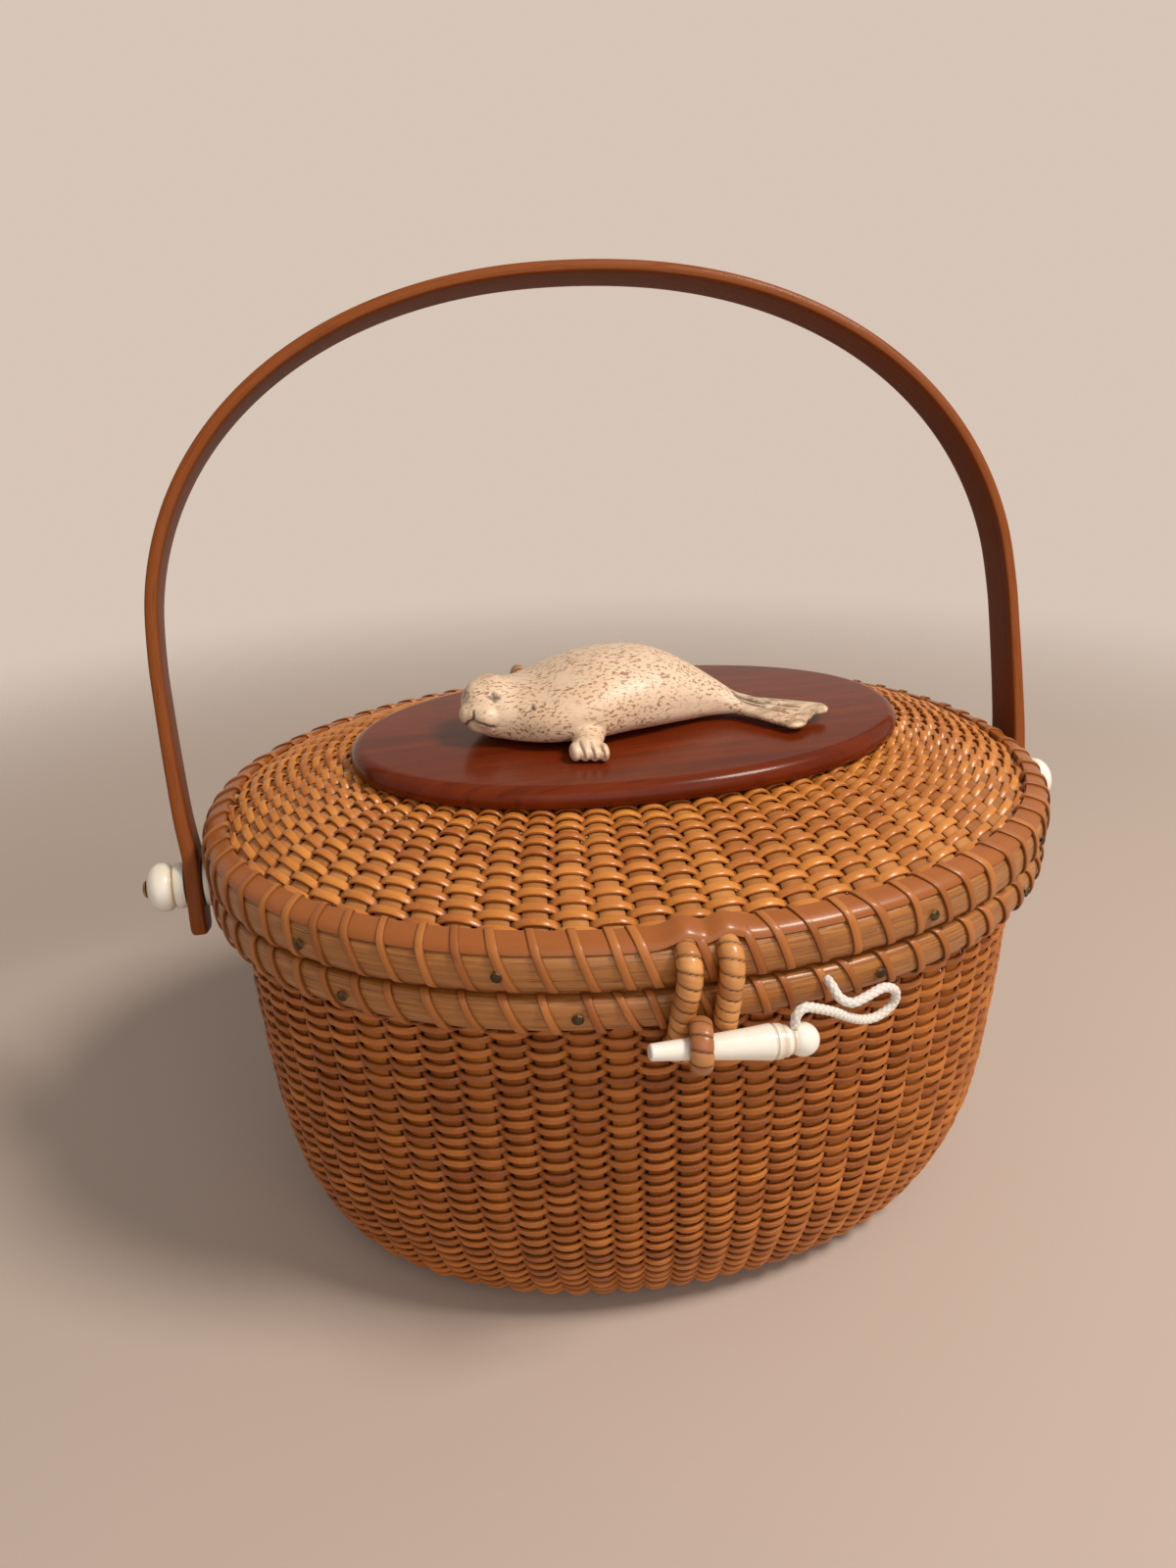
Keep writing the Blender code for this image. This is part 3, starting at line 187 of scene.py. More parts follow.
class Look:
    """A material under construction, with its nodes added by one method."""

    def __init__(self, name):
        self.material = bpy.data.materials.new(name)
        self.material.use_nodes = True
        self.tree = self.material.node_tree
        self.shader = self.tree.nodes["Principled BSDF"]

    def add(self, kind, settings, sockets, out=0):
        node = self.tree.nodes.new(kind)
        for key, value in settings.items():
            setattr(node, key, value)
        for key, value in sockets.items():
            self.feed(node.inputs[key], value)
        return Value(self, node.outputs[out])

    def feed(self, target, value):
        if isinstance(value, Value):
            self.tree.links.new(value.socket, target)
        elif hasattr(target.default_value, "__len__") and len(value) == 3 and len(target.default_value) == 4:
            target.default_value = (*value, 1.0)
        else:
            target.default_value = value

    def attribute(self, name, out="Vector"):
        return self.add("ShaderNodeAttribute", {"attribute_name": name}, {}, out)

    def place(self):
        return self.add("ShaderNodeTexCoord", {}, {}, "Object")

    def split(self, vector):
        node = self.tree.nodes.new("ShaderNodeSeparateXYZ")
        self.feed(node.inputs[0], vector)
        return [Value(self, socket) for socket in node.outputs]

    def strand(self):
        return self.split(self.attribute("strand"))

    # The mask of painted light: painted shade where cane tucks under, along cane edges, in the grooves of
    # wrapping and between braid strands, and a painted highlight on the handle's edges. Turned bone reads it
    # as a tint in its grooves.
    def tuck(self):
        return self.attribute("tuck", "Fac")

    def noise(self, vector, scale=1.0, detail=2.0, roughness=0.5):
        sockets = {"Vector": vector, "Scale": scale, "Detail": detail, "Roughness": roughness}
        return self.add("ShaderNodeTexNoise", {}, sockets)

    def streaks(self, x, y, z, detail=2.0, roughness=0.5):
        """Noise over three values."""
        vector = self.add("ShaderNodeCombineXYZ", {}, {0: x, 1: y, 2: z})
        return self.noise(vector, 1.0, detail, roughness)

    def grain(self, scale, detail=2.0, roughness=0.5):
        """Noise over the object's coordinates, with a scale for each axis."""
        vector = self.add("ShaderNodeMapping", {}, {"Vector": self.place(), "Scale": scale})
        return self.noise(vector, 1.0, detail, roughness)

    def mix(self, factor, first, second):
        return self.add("ShaderNodeMix", {"data_type": "RGBA"}, {0: factor, 6: first, 7: second}, 2)

    def bump(self, height, distance, strength):
        sockets = {"Height": height, "Distance": distance, "Strength": strength}
        return self.add("ShaderNodeBump", {}, sockets)

    def finish(self, **sockets):
        for key, value in sockets.items():
            self.feed(self.shader.inputs[key.replace("_", " ")], value)
        return self.material


def scaled(tint, *factors):
    """A colour times one factor, or one for each channel, kept under 1."""
    each = factors if len(factors) == 3 else factors * 3
    return tuple(min(part * factor, 1.0) for part, factor in zip(tint, each))


def cane_look(name, dark, light, gloss=0.36, coat=0.35):
    """Split cane: a tone for each strand, fine streaks along it, and painted shade, near black, where it
    tucks under, along its edges and in its grooves.
    """
    look = Look(name)
    along, across, tone = look.strand()
    tuck = look.tuck()
    streak = look.streaks(along * 90.0, across * 2.2, tone * 31.0, 3.0)
    cloud = look.noise(look.place(), 34.0)
    shade = (tone + (streak - 0.5) * 0.5 + (cloud - 0.5) * 0.35).clamp()
    # Painted shade: the mask pulls the colour towards near black where shade falls.
    base = look.mix((tuck * 1.15).clamp(), look.mix(shade, dark, light), scaled(dark, 0.06))
    return look.finish(
        Base_Color=base,
        Roughness=(streak * 0.16 + tuck * 0.5 + (gloss - 0.06)).clamp(),
        Normal=look.bump(streak, 0.00012, 0.5),
        Specular_IOR_Level=0.32,
        Coat_Weight=((1.0 - tuck * 2.0) * coat).clamp(),
        Coat_Roughness=0.18,
    )


def oak_look(name, tint):
    """Oak hoop: coarse pores and bands along its length under a thin varnish."""
    look = Look(name)
    along, across, tone = look.strand()
    band = look.streaks(along * 24.0, across * 2.6, tone * 9.0, 4.0, 0.6)
    pores = look.streaks(along * 95.0, across * 15.0, tone).step(0.56, 0.72)
    cloud = look.streaks(along * 9.0, across * 0.8, tone)
    dark, pale = scaled(tint, 0.62, 0.5, 0.4), scaled(tint, 1.35, 1.5, 1.6)
    base = look.mix((band * 1.7 - 0.35).clamp(), dark, pale)
    base = look.mix((cloud - 0.45).step(0.0, 0.25) * 0.45, base, tint)
    return look.finish(
        Base_Color=look.mix(pores * 0.75, base, scaled(tint, 0.22)),
        Roughness=band * 0.25 + 0.26,
        Normal=look.bump(band - pores * 0.9, 0.00025, 0.6),
        Coat_Weight=0.3,
        Coat_Roughness=0.2,
    )


def lacquer_look(name, tint):
    """Red-brown plaque with fine grain along X under deep lacquer."""
    look = Look(name)
    grain = look.grain((14.0, 160.0, 60.0), 4.0, 0.6)
    fleck = look.grain((70.0, 900.0, 300.0))
    cloud = look.grain((8.0, 24.0, 24.0))
    dark, pale = scaled(tint, 0.45), scaled(tint, 1.75, 2.3, 2.2)
    base = look.mix((grain * 1.5 - 0.25).clamp(), dark, pale)
    base = look.mix(fleck.step(0.55, 0.7) * 0.4, base, dark)
    return look.finish(
        Base_Color=look.mix((cloud - 0.4).step(0.0, 0.3) * 0.35, base, tint),
        Roughness=fleck * 0.08 + 0.2,
        Normal=look.bump(look.grain((18.0, 40.0, 40.0), 1.0), 0.0004, 0.12),
        Specular_IOR_Level=0.13,
        Coat_Weight=0.09,
        Coat_Roughness=0.08,
    )


def cherry_look(name, tint):
    """Bent handle: long grain along the strip, a painted highlight that makes its edges paler, and dark
    pores.
    """
    look = Look(name)
    along, across, depth = look.strand()
    band = look.streaks(along * 11.0, across * 3.0, depth * 2.0, 4.0, 0.6)
    pores = look.streaks(along * 60.0, across * 26.0, depth * 9.0).step(0.57, 0.7)
    dark, pale = scaled(tint, 0.5, 0.42, 0.4), scaled(tint, 1.2, 1.35, 1.7)
    base = look.mix((band * 1.4 - 0.25).clamp(), dark, tint)
    # Painted highlight: the mask pales the strip's edges.
    base = look.mix((look.tuck() * (band * 0.5 + 0.7)).clamp(), base, pale)
    return look.finish(
        Base_Color=look.mix(pores * 0.45, base, dark),
        Roughness=band * 0.2 + 0.34,
        Normal=look.bump(band - pores * 0.7, 0.00018, 0.5),
        Specular_IOR_Level=0.12,
        Coat_Weight=0.03,
    )


def board_look(name, tint):
    """Plain board with soft grain along X."""
    look = Look(name)
    grain = look.grain((9.0, 120.0, 120.0), 4.0)
    base = look.mix(grain.step(0.3, 0.75), scaled(tint, 0.6), tint)
    return look.finish(Base_Color=base, Roughness=grain * 0.2 + 0.35, Normal=look.bump(grain, 0.0001, 0.5))


def bone_look(name, tint):
    """Turned, polished bone with faint rings and a warm tint in its hollows."""
    look = Look(name)
    cloud = look.grain((60.0, 160.0, 160.0), 3.0)
    ring = look.grain((900.0, 60.0, 60.0), 1.0)
    warmth = (cloud.step(0.42, 0.8) * 0.45 + ring.step(0.5, 0.8) * 0.15).clamp()
    base = look.mix(warmth, tint, scaled(tint, 0.88, 0.74, 0.54))
    return look.finish(
        Base_Color=look.mix(look.tuck().clamp(), base, (0.50, 0.33, 0.15)),
        Roughness=ring * 0.12 + 0.2,
        Normal=look.bump(ring, 0.00004, 0.5),
        Subsurface_Weight=0.12,
        Subsurface_Scale=0.002,
    )


def seal_look(name, tint):
    """Carved seal: cream with dashes of brown along the coat, stained cuts, a stained tail and patches darker
    towards its bottom.
    """
    look = Look(name)
    bare, cut, tail_and_low_darkening = look.split(look.attribute("carving"))
    dash = look.grain((620.0, 1500.0, 1400.0), 2.0, 0.6)
    spots = dash.step(0.545, 0.60) * look.noise(look.place(), 120.0).step(0.27, 0.50) * (1.0 - bare)
    hair = look.grain((260.0, 1500.0, 1300.0))
    wash = look.grain((120.0, 420.0, 420.0)).step(0.38, 0.62)
    blush = look.noise(look.place(), 60.0, 3.0).step(0.4, 0.7) * 0.6
    base = look.mix(blush, tint, scaled(tint, 0.94, 0.82, 0.70))
    base = look.mix(hair.step(0.52, 0.8) * 0.3 * (1.0 - bare), base, (0.46, 0.27, 0.13))
    base = look.mix((spots * 0.8).clamp(), base, (0.24, 0.10, 0.035))
    # The stained tail, and darker towards the seal's bottom, both in a patchy wash.
    base = look.mix((tail_and_low_darkening * wash).clamp(), base, (0.21, 0.115, 0.045))
    return look.finish(
        Base_Color=look.mix(cut.clamp(), base, (0.045, 0.025, 0.015)),
        Roughness=hair * 0.15 + 0.36,
        Normal=look.bump(hair * 0.7 + dash * 0.3, 0.00022, 0.6),
        Subsurface_Weight=0.08,
        Subsurface_Scale=0.0015,
    )


def cord_look(name):
    """Soft white braid with painted shade between its strands."""
    look = Look(name)
    along, across, depth = look.strand()
    fuzz = look.streaks(along * 900.0, across * 6.0, depth, 3.0)
    base = look.mix(fuzz * 0.5, (0.88, 0.83, 0.78), (0.74, 0.68, 0.61))
    # Painted shade between the braid's strands.
    base = look.mix((look.tuck() * 0.6).clamp(), base, (0.52, 0.44, 0.36))
    return look.finish(
        Base_Color=base, Roughness=0.85, Normal=look.bump(fuzz, 0.0001, 0.6), Sheen_Weight=0.25
    )


def metal_look(name, tint, roughness=0.35):
    """Worn metal, darker in random patches."""
    look = Look(name)
    wear = look.noise(look.place(), 420.0, 3.0)
    base = look.mix(wear.step(0.4, 0.7), scaled(tint, 0.45), tint)
    return look.finish(Base_Color=base, Metallic=0.9, Roughness=wear * 0.3 + (roughness - 0.1))


def finishes(tints):
    """Every finish, as the function that makes it and that function's values."""
    strip = tints.strip
    return {
        "body_cane": (cane_look, tints.body_dark, tints.body_light, 0.40, 0.2),
        "body_staves": (cane_look, tints.body_dark, tints.body_light, 0.42, 0.1),
        "lid_cane": (cane_look, tints.lid_dark, tints.lid_light, 0.36, 0.3),
        "lid_staves": (cane_look, tints.stave_dark, tints.stave_light, 0.36, 0.25),
        "cap_cane": (cane_look, scaled(strip, 0.72), strip, 0.38, 0.25),
        "lash_cane": (cane_look, strip, scaled(strip, 1.55, 1.85, 2.1), 0.36, 0.3),
        "wrap_cane": (cane_look, (0.40, 0.140, 0.034), (0.72, 0.33, 0.100), 0.34, 0.4),
        "staple_cane": (cane_look, (0.33, 0.11, 0.035), (0.56, 0.25, 0.09), 0.36, 0.3),
        "pale_reed": (cane_look, (0.40, 0.20, 0.07), (0.66, 0.42, 0.20)),
        "hoop_oak": (oak_look, tints.hoop),
        "plaque_lacquer": (lacquer_look, tints.plaque),
        "handle_cherry": (cherry_look, tints.handle),
        "board_wood": (board_look, (0.47, 0.24, 0.10)),
        "turned_bone": (bone_look, tints.bone),
        "carved_seal": (seal_look, tints.seal),
        "braided_cord": (cord_look,),
        "aged_brass": (metal_look, (0.45, 0.31, 0.12)),
        "dark_iron": (metal_look, (0.15, 0.10, 0.055), 0.5),
    }


LOOKS = {}


def look_for(name):
    """Each finish, made when a piece first needs it."""
    if name not in LOOKS:
        maker, *values = finishes(bpy.context.scene.basket_colours)[name]
        LOOKS[name] = maker(name, *values)
    return LOOKS[name]


def stacked(*columns):
    """Columns of numbers side by side, as rows."""
    return np.stack(np.broadcast_arrays(*columns), axis=-1)


def unit(rows):
    """Rows of numbers as directions of length 1."""
    return rows / np.linalg.norm(rows, axis=-1, keepdims=True)


def travelled(path):
    """The distance run along a path up to each of its points."""
    return np.concatenate(([0.0], np.cumsum(np.linalg.norm(np.diff(path, axis=0), axis=1))))


def boxy(value, power):
    """A sine or cosine raised to a power with its sign kept, which squares its circle up."""
    return np.sign(value) * np.abs(value) ** power


def picked(table, part, closed=True):
    """The rows that parts of a table's length fall on. A closed table comes back to its first row."""
    rows = np.asarray(table)
    steps = len(rows) if closed else len(rows) - 1
    return rows[np.rint(part * steps).astype(int) % len(rows)]


def strands(along, across, tone, tuck=0.0):
    """The attributes that the looks of cane, wood and cord read, with the mask of painted shade and painted
    highlight.
    """
    return {"strand": stacked(along, across, tone), "tuck": np.broadcast_to(tuck, along.shape)}


# The share of an oval's way round at which it is furthest to the front.
FRONT = 0.75


class Oval:
    """The rounded oval that every rim, wall and board follows. A share of 0 is at +X, FRONT at -Y."""

    def __init__(self, sizes):
        self.length, self.width, self.power = sizes.half_length, sizes.half_width, sizes.oval_power
        self.turns = np.linspace(0.0, math.tau, 6001)
        run = travelled(stacked(*self.bend(self.turns, self.length, self.width)))
        self.girth = run[-1]
        self.shares = run / self.girth

    def bend(self, turn, half_length, half_width):
        power = 2.0 / self.power
        return half_length * boxy(np.cos(turn), power), half_width * boxy(np.sin(turn), power)

    def points(self, round_share, half_length, half_width, height):
        turn = np.interp(np.mod(round_share, 1.0), self.shares, self.turns)
        return stacked(*self.bend(turn, half_length, half_width), height)

    def rim(self, round_share, inset, height):
        return self.points(round_share, self.length - inset, self.width - inset, height)

    def front_share(self, x):
        """The share of the rim at a given X on the -Y side."""
        turns = np.linspace(math.pi, math.tau, 3001)
        places, _ = self.bend(turns, self.length, self.width)
        return float(np.interp(np.interp(x, places, turns), self.turns, self.shares))


def eased(points, steps=12):
    """Catmull-Rom rows through given rows of numbers."""
    rows = np.asarray(points, dtype=float)
    padded = np.vstack([rows[:1], rows, rows[-1:]])
    before, start, end, after = padded[:-3], padded[1:-2], padded[2:-1], padded[3:]
    curve = []
    for t in np.arange(steps) / steps:
        square = (2 * before - 5 * start + 4 * end - after) * t**2
        cube = (3 * start - before - 3 * end + after) * t**3
        curve.append(0.5 * (2 * start + (end - before) * t + square + cube))
    merged = np.stack(curve, axis=1).reshape(-1, rows.shape[1])
    return np.vstack([merged, rows[-1:]])


def eased_loop(points, steps=12):
    """The same for rows that come back to the first one."""
    rows = np.asarray(points, dtype=float)
    full = eased(np.vstack([rows[-2:], rows, rows[:3]]), steps)
    return full[2 * steps : (2 + len(rows)) * steps]


class Skin:
    """A woven wall's outer face: ovals stacked along a profile, with its outward direction."""

    def __init__(self, oval, sections, low_fan, high_fan):
        self.oval, self.low_fan, self.high_fan = oval, low_fan, high_fan
        half_length, half_width, height = eased(sections).T
        profile = stacked((half_length + half_width) / 2, height)
        self.run = travelled(profile)
        self.total = self.run[-1]
        spread, rise = unit(np.gradient(profile, axis=0)).T
        self.columns = (half_length, half_width, height, rise, -spread)

    def points(self, round_share, run, proud):
        """Points at shares of the oval and runs up the wall, moved outward by proud."""
        fan = self.low_fan + (self.high_fan - self.low_fan) * run / self.total
        turn = 2.0 * math.tau * (round_share - FRONT)
        round_share = round_share + fan * np.sin(turn) / (2.0 * math.tau)
        half_length, half_width, height, out, up = (
            np.interp(run, self.run, column) for column in self.columns
        )
        half_length, half_width = half_length + proud * out, half_width + proud * out
        return self.oval.points(round_share, half_length, half_width, height + proud * up)


CANE_SECTION = ((-0.5, -0.5), (-0.49, 0.2), (-0.38, 0.46), (0.38, 0.46), (0.49, 0.2), (0.5, -0.5))
STAVE_SECTION = (
    (-0.5, -0.5), (-0.5, -0.1), (-0.42, 0.18), (-0.22, 0.42), (0.0, 0.5),
    (0.22, 0.42), (0.42, 0.18), (0.5, -0.1), (0.5, -0.5),
)


def placed(name, data):
    """A new object of the scene."""
    piece = bpy.data.objects.new(name, data)
    bpy.context.collection.objects.link(piece)
    return piece


def shaded(name, mesh, sharp):
    """A new object, smooth but for edges sharper than an angle in degrees."""
    mesh.shade_smooth()
    mesh.set_sharp_from_angle(angle=math.radians(sharp))
    return placed(name, mesh)


def meshed(name, bm):
    """A mesh of a bmesh, which is freed."""
    mesh = bpy.data.meshes.new(name)
    bm.to_mesh(mesh)
    bm.free()
    return mesh


def read(mesh, key):
    """A vector of each vertex, as rows."""
    flat = np.empty(len(mesh.vertices) * 3)
    mesh.vertices.foreach_get(key, flat)
    return flat.reshape(-1, 3)


def store(mesh, points, values):
    """Move the vertices to points and give them attributes."""
    mesh.vertices.foreach_set("co", np.ascontiguousarray(points, dtype=float).ravel())
    for key, data in values.items():
        kind, field = ("FLOAT_VECTOR", "vector") if data.ndim == 2 else ("FLOAT", "value")
        layer = mesh.attributes.new(key, kind, "POINT")
        layer.data.foreach_set(field, np.ascontiguousarray(data, dtype=float).ravel())


def bent_grid(name, along, around, copies, place, closed=False, sharp=40.0):
    """Copies of one grid, bent by place(copy, u, v), its seams merged and its ends filled.

    u runs 0 to 1 along the grid and v 0 to 1 around it. place gives points and attributes.
    """
    sheet = bmesh.new()
    bmesh.ops.create_grid(sheet, x_segments=along, y_segments=around, size=0.5)
    single = meshed(name + "_unit", sheet)
    many = bmesh.new()
    for _ in range(copies):
        many.from_mesh(single)
    mesh = meshed(name, many)
    u, v = np.tile(read(single, "co")[:, :2] + 0.5, (copies, 1)).T
    copy = np.repeat(np.arange(copies), len(single.vertices))
    bpy.data.meshes.remove(single)
    store(mesh, *place(copy, np.round(u * along) / along, np.round(v * around) / around))
    bm = bmesh.new()
    bm.from_mesh(mesh)
    bmesh.ops.remove_doubles(bm, verts=bm.verts, dist=1e-7)
    if not closed:
        bmesh.ops.holes_fill(bm, edges=[edge for edge in bm.edges if edge.is_boundary], sides=0)
    bmesh.ops.recalc_face_normals(bm, faces=bm.faces)
    bm.to_mesh(mesh)
    bm.free()
    return shaded(name, mesh, sharp)


def settle(piece, body, look, slot, *nodes):
    """Give a piece its finish and the body it rides on, and hide the nodes it stands for; the slot is not
    used.
    """
    piece.data.materials.append(look_for(look))
    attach(piece, body)
    if nodes:
        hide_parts(*nodes)


def finish_node(name, look):
    """Give a kept piece of the construction its finish."""
    node = frame["nodes"][name]
    node.data.materials.clear()
    node.data.materials.append(look_for(look))


def drifting(seed, rows, columns):
    """A random value for each crest of each row, read smoothly between crests."""
    table = np.random.default_rng(seed).uniform(-1.0, 1.0, (rows, columns))

    def value(row, phase):
        left = np.floor(phase).astype(int)
        part = phase - left
        part = part * part * (3.0 - 2.0 * part)
        first, second = table[row, left % columns], table[row, (left + 1) % columns]
        return first * (1.0 - part) + second * part

    return value


WEAVER_STEP_SHARES = (0.0, 0.16, 0.29, 0.39, 0.5, 0.61, 0.71, 0.84, 1.0)
CREST_FLATNESS = 1.1
# How much the crests of a row vary by hand: in height, place and width, then in tone with their row.
LIFT_SPREAD, SLIP_SPREAD, WIDTH_SPREAD, ROW_TONES, CREST_TONES = 0.10, 0.07, 0.06, 0.22, 0.26
STAVE_LEAN = 0.0002


def weavers(name, skin, rows, first_row, sizes, start_share, seed):
    """Rows of cane, each a closed ring that goes over and under every other stave."""
    posts, count = sizes.staves, len(rows)
    width = np.abs(np.gradient(rows)) * sizes.weaver_fill
    between = len(WEAVER_STEP_SHARES) - 1
    level = np.linspace(0.0, 1.0, between + 1)
    steps = posts * between
    wobble, lift, tint = (drifting(seed + k, count, posts) for k in range(3))
    row_tint = np.random.default_rng(seed + 7).uniform(-1.0, 1.0, count)

    def place(row, u, v):
        across, depth = picked(CANE_SECTION, v).T
        number = row + first_row
        gap, part = np.divmod(np.round(u * steps) / between, 1.0)
        phase = gap + np.interp(part, level, WEAVER_STEP_SHARES) + (number + 1) % 2
        wave = np.tanh(CREST_FLATNESS * np.cos(np.pi * (phase + number))) / math.tanh(CREST_FLATNESS)
        proud = wave * sizes.swing * (1.0 + LIFT_SPREAD * lift(row, phase)) - sizes.depth
        slip = SLIP_SPREAD * wobble(row, phase)
        run = rows[row] + (across * (1.0 + WIDTH_SPREAD * tint(row, phase)) + slip) * width[row]
        proud = proud + depth * sizes.weaver_thickness
        points = skin.points(start_share + phase / posts, run, proud)
        tone = 0.5 + ROW_TONES * row_tint[row] + CREST_TONES * tint(row, phase)
        # Painted shade: near black where the row dips behind a stave.
        tuck = np.clip(-0.1 - 1.5 * wave, 0.0, 1.0)
        return points, strands(phase / posts * skin.oval.girth, across, tone, tuck)

    return bent_grid(name, steps, len(CANE_SECTION), count, place, closed=True)


def staves(name, skin, sizes, start_share, low, steps, seed):
    """Upright staves that follow the wall to its end and narrow as the oval does."""
    rng = np.random.default_rng(seed)
    tones, leans = rng.uniform(0.15, 0.9, sizes.staves), rng.uniform(-1.0, 1.0, sizes.staves)

    def place(copy, u, v):
        across, depth = picked(STAVE_SECTION, v).T
        run = low + (skin.total - low) * u
        aside = across * sizes.stave_fill / sizes.staves + leans[copy] * STAVE_LEAN / skin.oval.girth
        proud = depth * sizes.stave_thickness - sizes.depth
        points = skin.points(start_share + copy / sizes.staves + aside, run, proud)
        # Painted shade over each stave between the weavers, deeper along its edges.
        return points, strands(run, across, tones[copy], 0.12 + 2.4 * np.abs(across) ** 4)

    return bent_grid(name, steps, len(STAVE_SECTION), sizes.staves, place)


ROUND_STEPS = 312


def ring(name, oval, profile):
    """A closed section of (inset, height) pairs swept round the oval."""
    loop = np.vstack([profile, profile[:1]])
    table = stacked(*loop.T, travelled(loop))[:-1]

    def place(_, u, v):
        inset, height, across = picked(table, v).T
        return oval.rim(u, inset, height), strands(u * oval.girth, across * 400.0, 0.5)

    return bent_grid(name, ROUND_STEPS, len(table), 1, place, closed=True)


def half_round(inset, floor, height, thickness, outward=True, steps=12):
    """Section of a hoop: flat against the wall and rounded on the other side."""
    back, side = (inset + thickness, -1.0) if outward else (inset, 1.0)
    profile = [(back, floor), (back, floor + height)]
    for step in range(steps + 1):
        angle = math.pi * (0.5 - step / steps)
        depth = thickness * (0.38 + 0.62 * abs(math.cos(angle)) ** 0.62)
        profile.append((back + side * depth, floor + height * (1.0 + boxy(math.sin(angle), 0.8)) / 2))
    return profile


def ovals(half_length, half_width, profile):
    """(inset, height) pairs as sections (half length, half width, height)."""
    return [(half_length - inset, half_width - inset, height) for inset, height in profile]


def oval_slab(name, oval, sections):
    """A board, by its sections from its lower face to its upper one."""

    def place(_, u, v):
        half_length, half_width, height = picked(sections, v, closed=False).T
        return oval.points(u, half_length, half_width, height), {}

    return bent_grid(name, ROUND_STEPS, len(sections) - 1, 1, place, sharp=35.0)


def quarter(start, end, steps=6):
    """A rounded corner between two (inset, height) places, leaving the first one upright."""
    corner = []
    for step in range(steps + 1):
        angle = math.pi / 2 * step / steps
        inset = start[0] + (end[0] - start[0]) * (1.0 - math.cos(angle))
        corner.append((inset, start[1] + (end[1] - start[1]) * math.sin(angle)))
    return corner


def lashings(name, oval, route, shares, sizes, seed):
    """Cane lashed over a rim: one strip for each share, leaning along the rim on its way down."""
    rng = np.random.default_rng(seed)
    count = len(shares)
    widths = rng.uniform(0.85, 1.15, count)
    tones = rng.uniform(0.1, 0.95, count)
    drifts = rng.uniform(0.75, 1.25, count)
    path = eased(route, 3)
    runs = travelled(path)
    slope = unit(np.gradient(path, axis=0))
    table = stacked(*path.T, slope[:, 1], -slope[:, 0], runs)

    def place(copy, u, v):
        across, depth = picked(CANE_SECTION, v).T
        inset, height, out_inset, out_height, run = picked(table, u, closed=False).T
        lift = depth * sizes.lashing_thickness
        side = across * sizes.lashing_width * widths[copy]
        lean = (run / runs[-1] - 0.5) * sizes.lashing_drift * drifts[copy]
        where = shares[copy] + (side + lean) / oval.girth
        points = oval.rim(where, inset + out_inset * lift, height + out_height * lift)
        # Painted shade along each lashing's edges.
        return points, strands(run + copy, across, tones[copy], 0.55 * np.abs(2.0 * across) ** 4)

    return bent_grid(name, len(path) - 1, len(CANE_SECTION), count, place)


def frames_along(path, closed):
    """Directions across a path, carried along it without twist."""
    if closed:
        tangent = unit(np.roll(path, -1, axis=0) - np.roll(path, 1, axis=0))
    else:
        tangent = unit(np.gradient(path, axis=0))
    side = np.zeros_like(path)
    carried = np.array(Vector(tangent[0]).orthogonal().normalized())
    for index, direction in enumerate(tangent):
        carried = side[index] = unit(carried - direction * carried.dot(direction))
    if closed:
        first, last = side[0], unit(side[-1] - tangent[0] * side[-1].dot(tangent[0]))
        gap = math.atan2(np.cross(last, first).dot(tangent[0]), last.dot(first))
        turn = np.linspace(0.0, gap, len(path))[:, None]
        side = side * np.cos(turn) + np.cross(tangent, side) * np.sin(turn)
    return side, np.cross(tangent, side)


def even(path, count, closed):
    """The same path at equal steps, with its length."""
    loop = np.vstack([path, path[:1]]) if closed else path
    run = travelled(loop)
    at = np.linspace(0.0, run[-1], count + 1)
    spots = stacked(*(np.interp(at, run, column) for column in loop.T))
    return (spots[:-1] if closed else spots), run[-1]


def swept(name, path, sides, shape, closed, steps):
    """A tube along a path. shape(distance, turn) gives its radius and attributes."""
    spots, total = even(path, steps, closed)
    table = np.hstack([spots, *frames_along(spots, closed)])

    def place(_, u, v):
        spot, side, other = np.split(picked(table, u, closed), 3, axis=1)
        angle = (v * math.tau)[:, None]
        radius, values = shape(u * total, np.mod(v, 1.0))
        return spot + (side * np.cos(angle) + other * np.sin(angle)) * radius[:, None], values

    return bent_grid(name, steps, sides, 1, place, closed=closed)


# The height over which a bar gets slimmer, then the depth and the tilt of a band as shares of its radius.
SLIM_FADE = 0.0025
BAND_GROOVE, BAND_TILT = 0.13, 0.03


def wound(name, path, radius, pitch, closed, steps, seed, slim=0.0, above=1.0):
    """A bar bound with cane: bands with a shallow groove between neighbours, slimmer above a height."""
    spots, total = even(path, steps, closed)
    shares = np.linspace(0.0, 1.0, len(spots), endpoint=not closed)
    thin = 1.0 - slim * np.clip((spots[:, 2] - above) / SLIM_FADE, 0.0, 1.0)
    turns = max(round(total / pitch), 1)
    tones = np.random.default_rng(seed).uniform(0.1, 0.95, turns + 2)

    def shape(distance, turn):
        phase = distance / total * turns + turn * (1.0 if closed else 0.6)
        number = np.floor(phase)
        part = phase - number
        edge = np.abs(2.0 * part - 1.0)
        band = radius * np.interp(distance / total, shares, thin)
        band = band * (1.0 - BAND_GROOVE * edge**7 + BAND_TILT * (part - 0.5))
        tone = tones[number.astype(int) % (turns if closed else turns + 2)]
        # Painted shade in the groove at each band's edges.
        return band, strands(turn * math.tau * radius, 2.0 * part - 1.0, tone, edge**9)

    return swept(name, path, 20, shape, closed, steps)


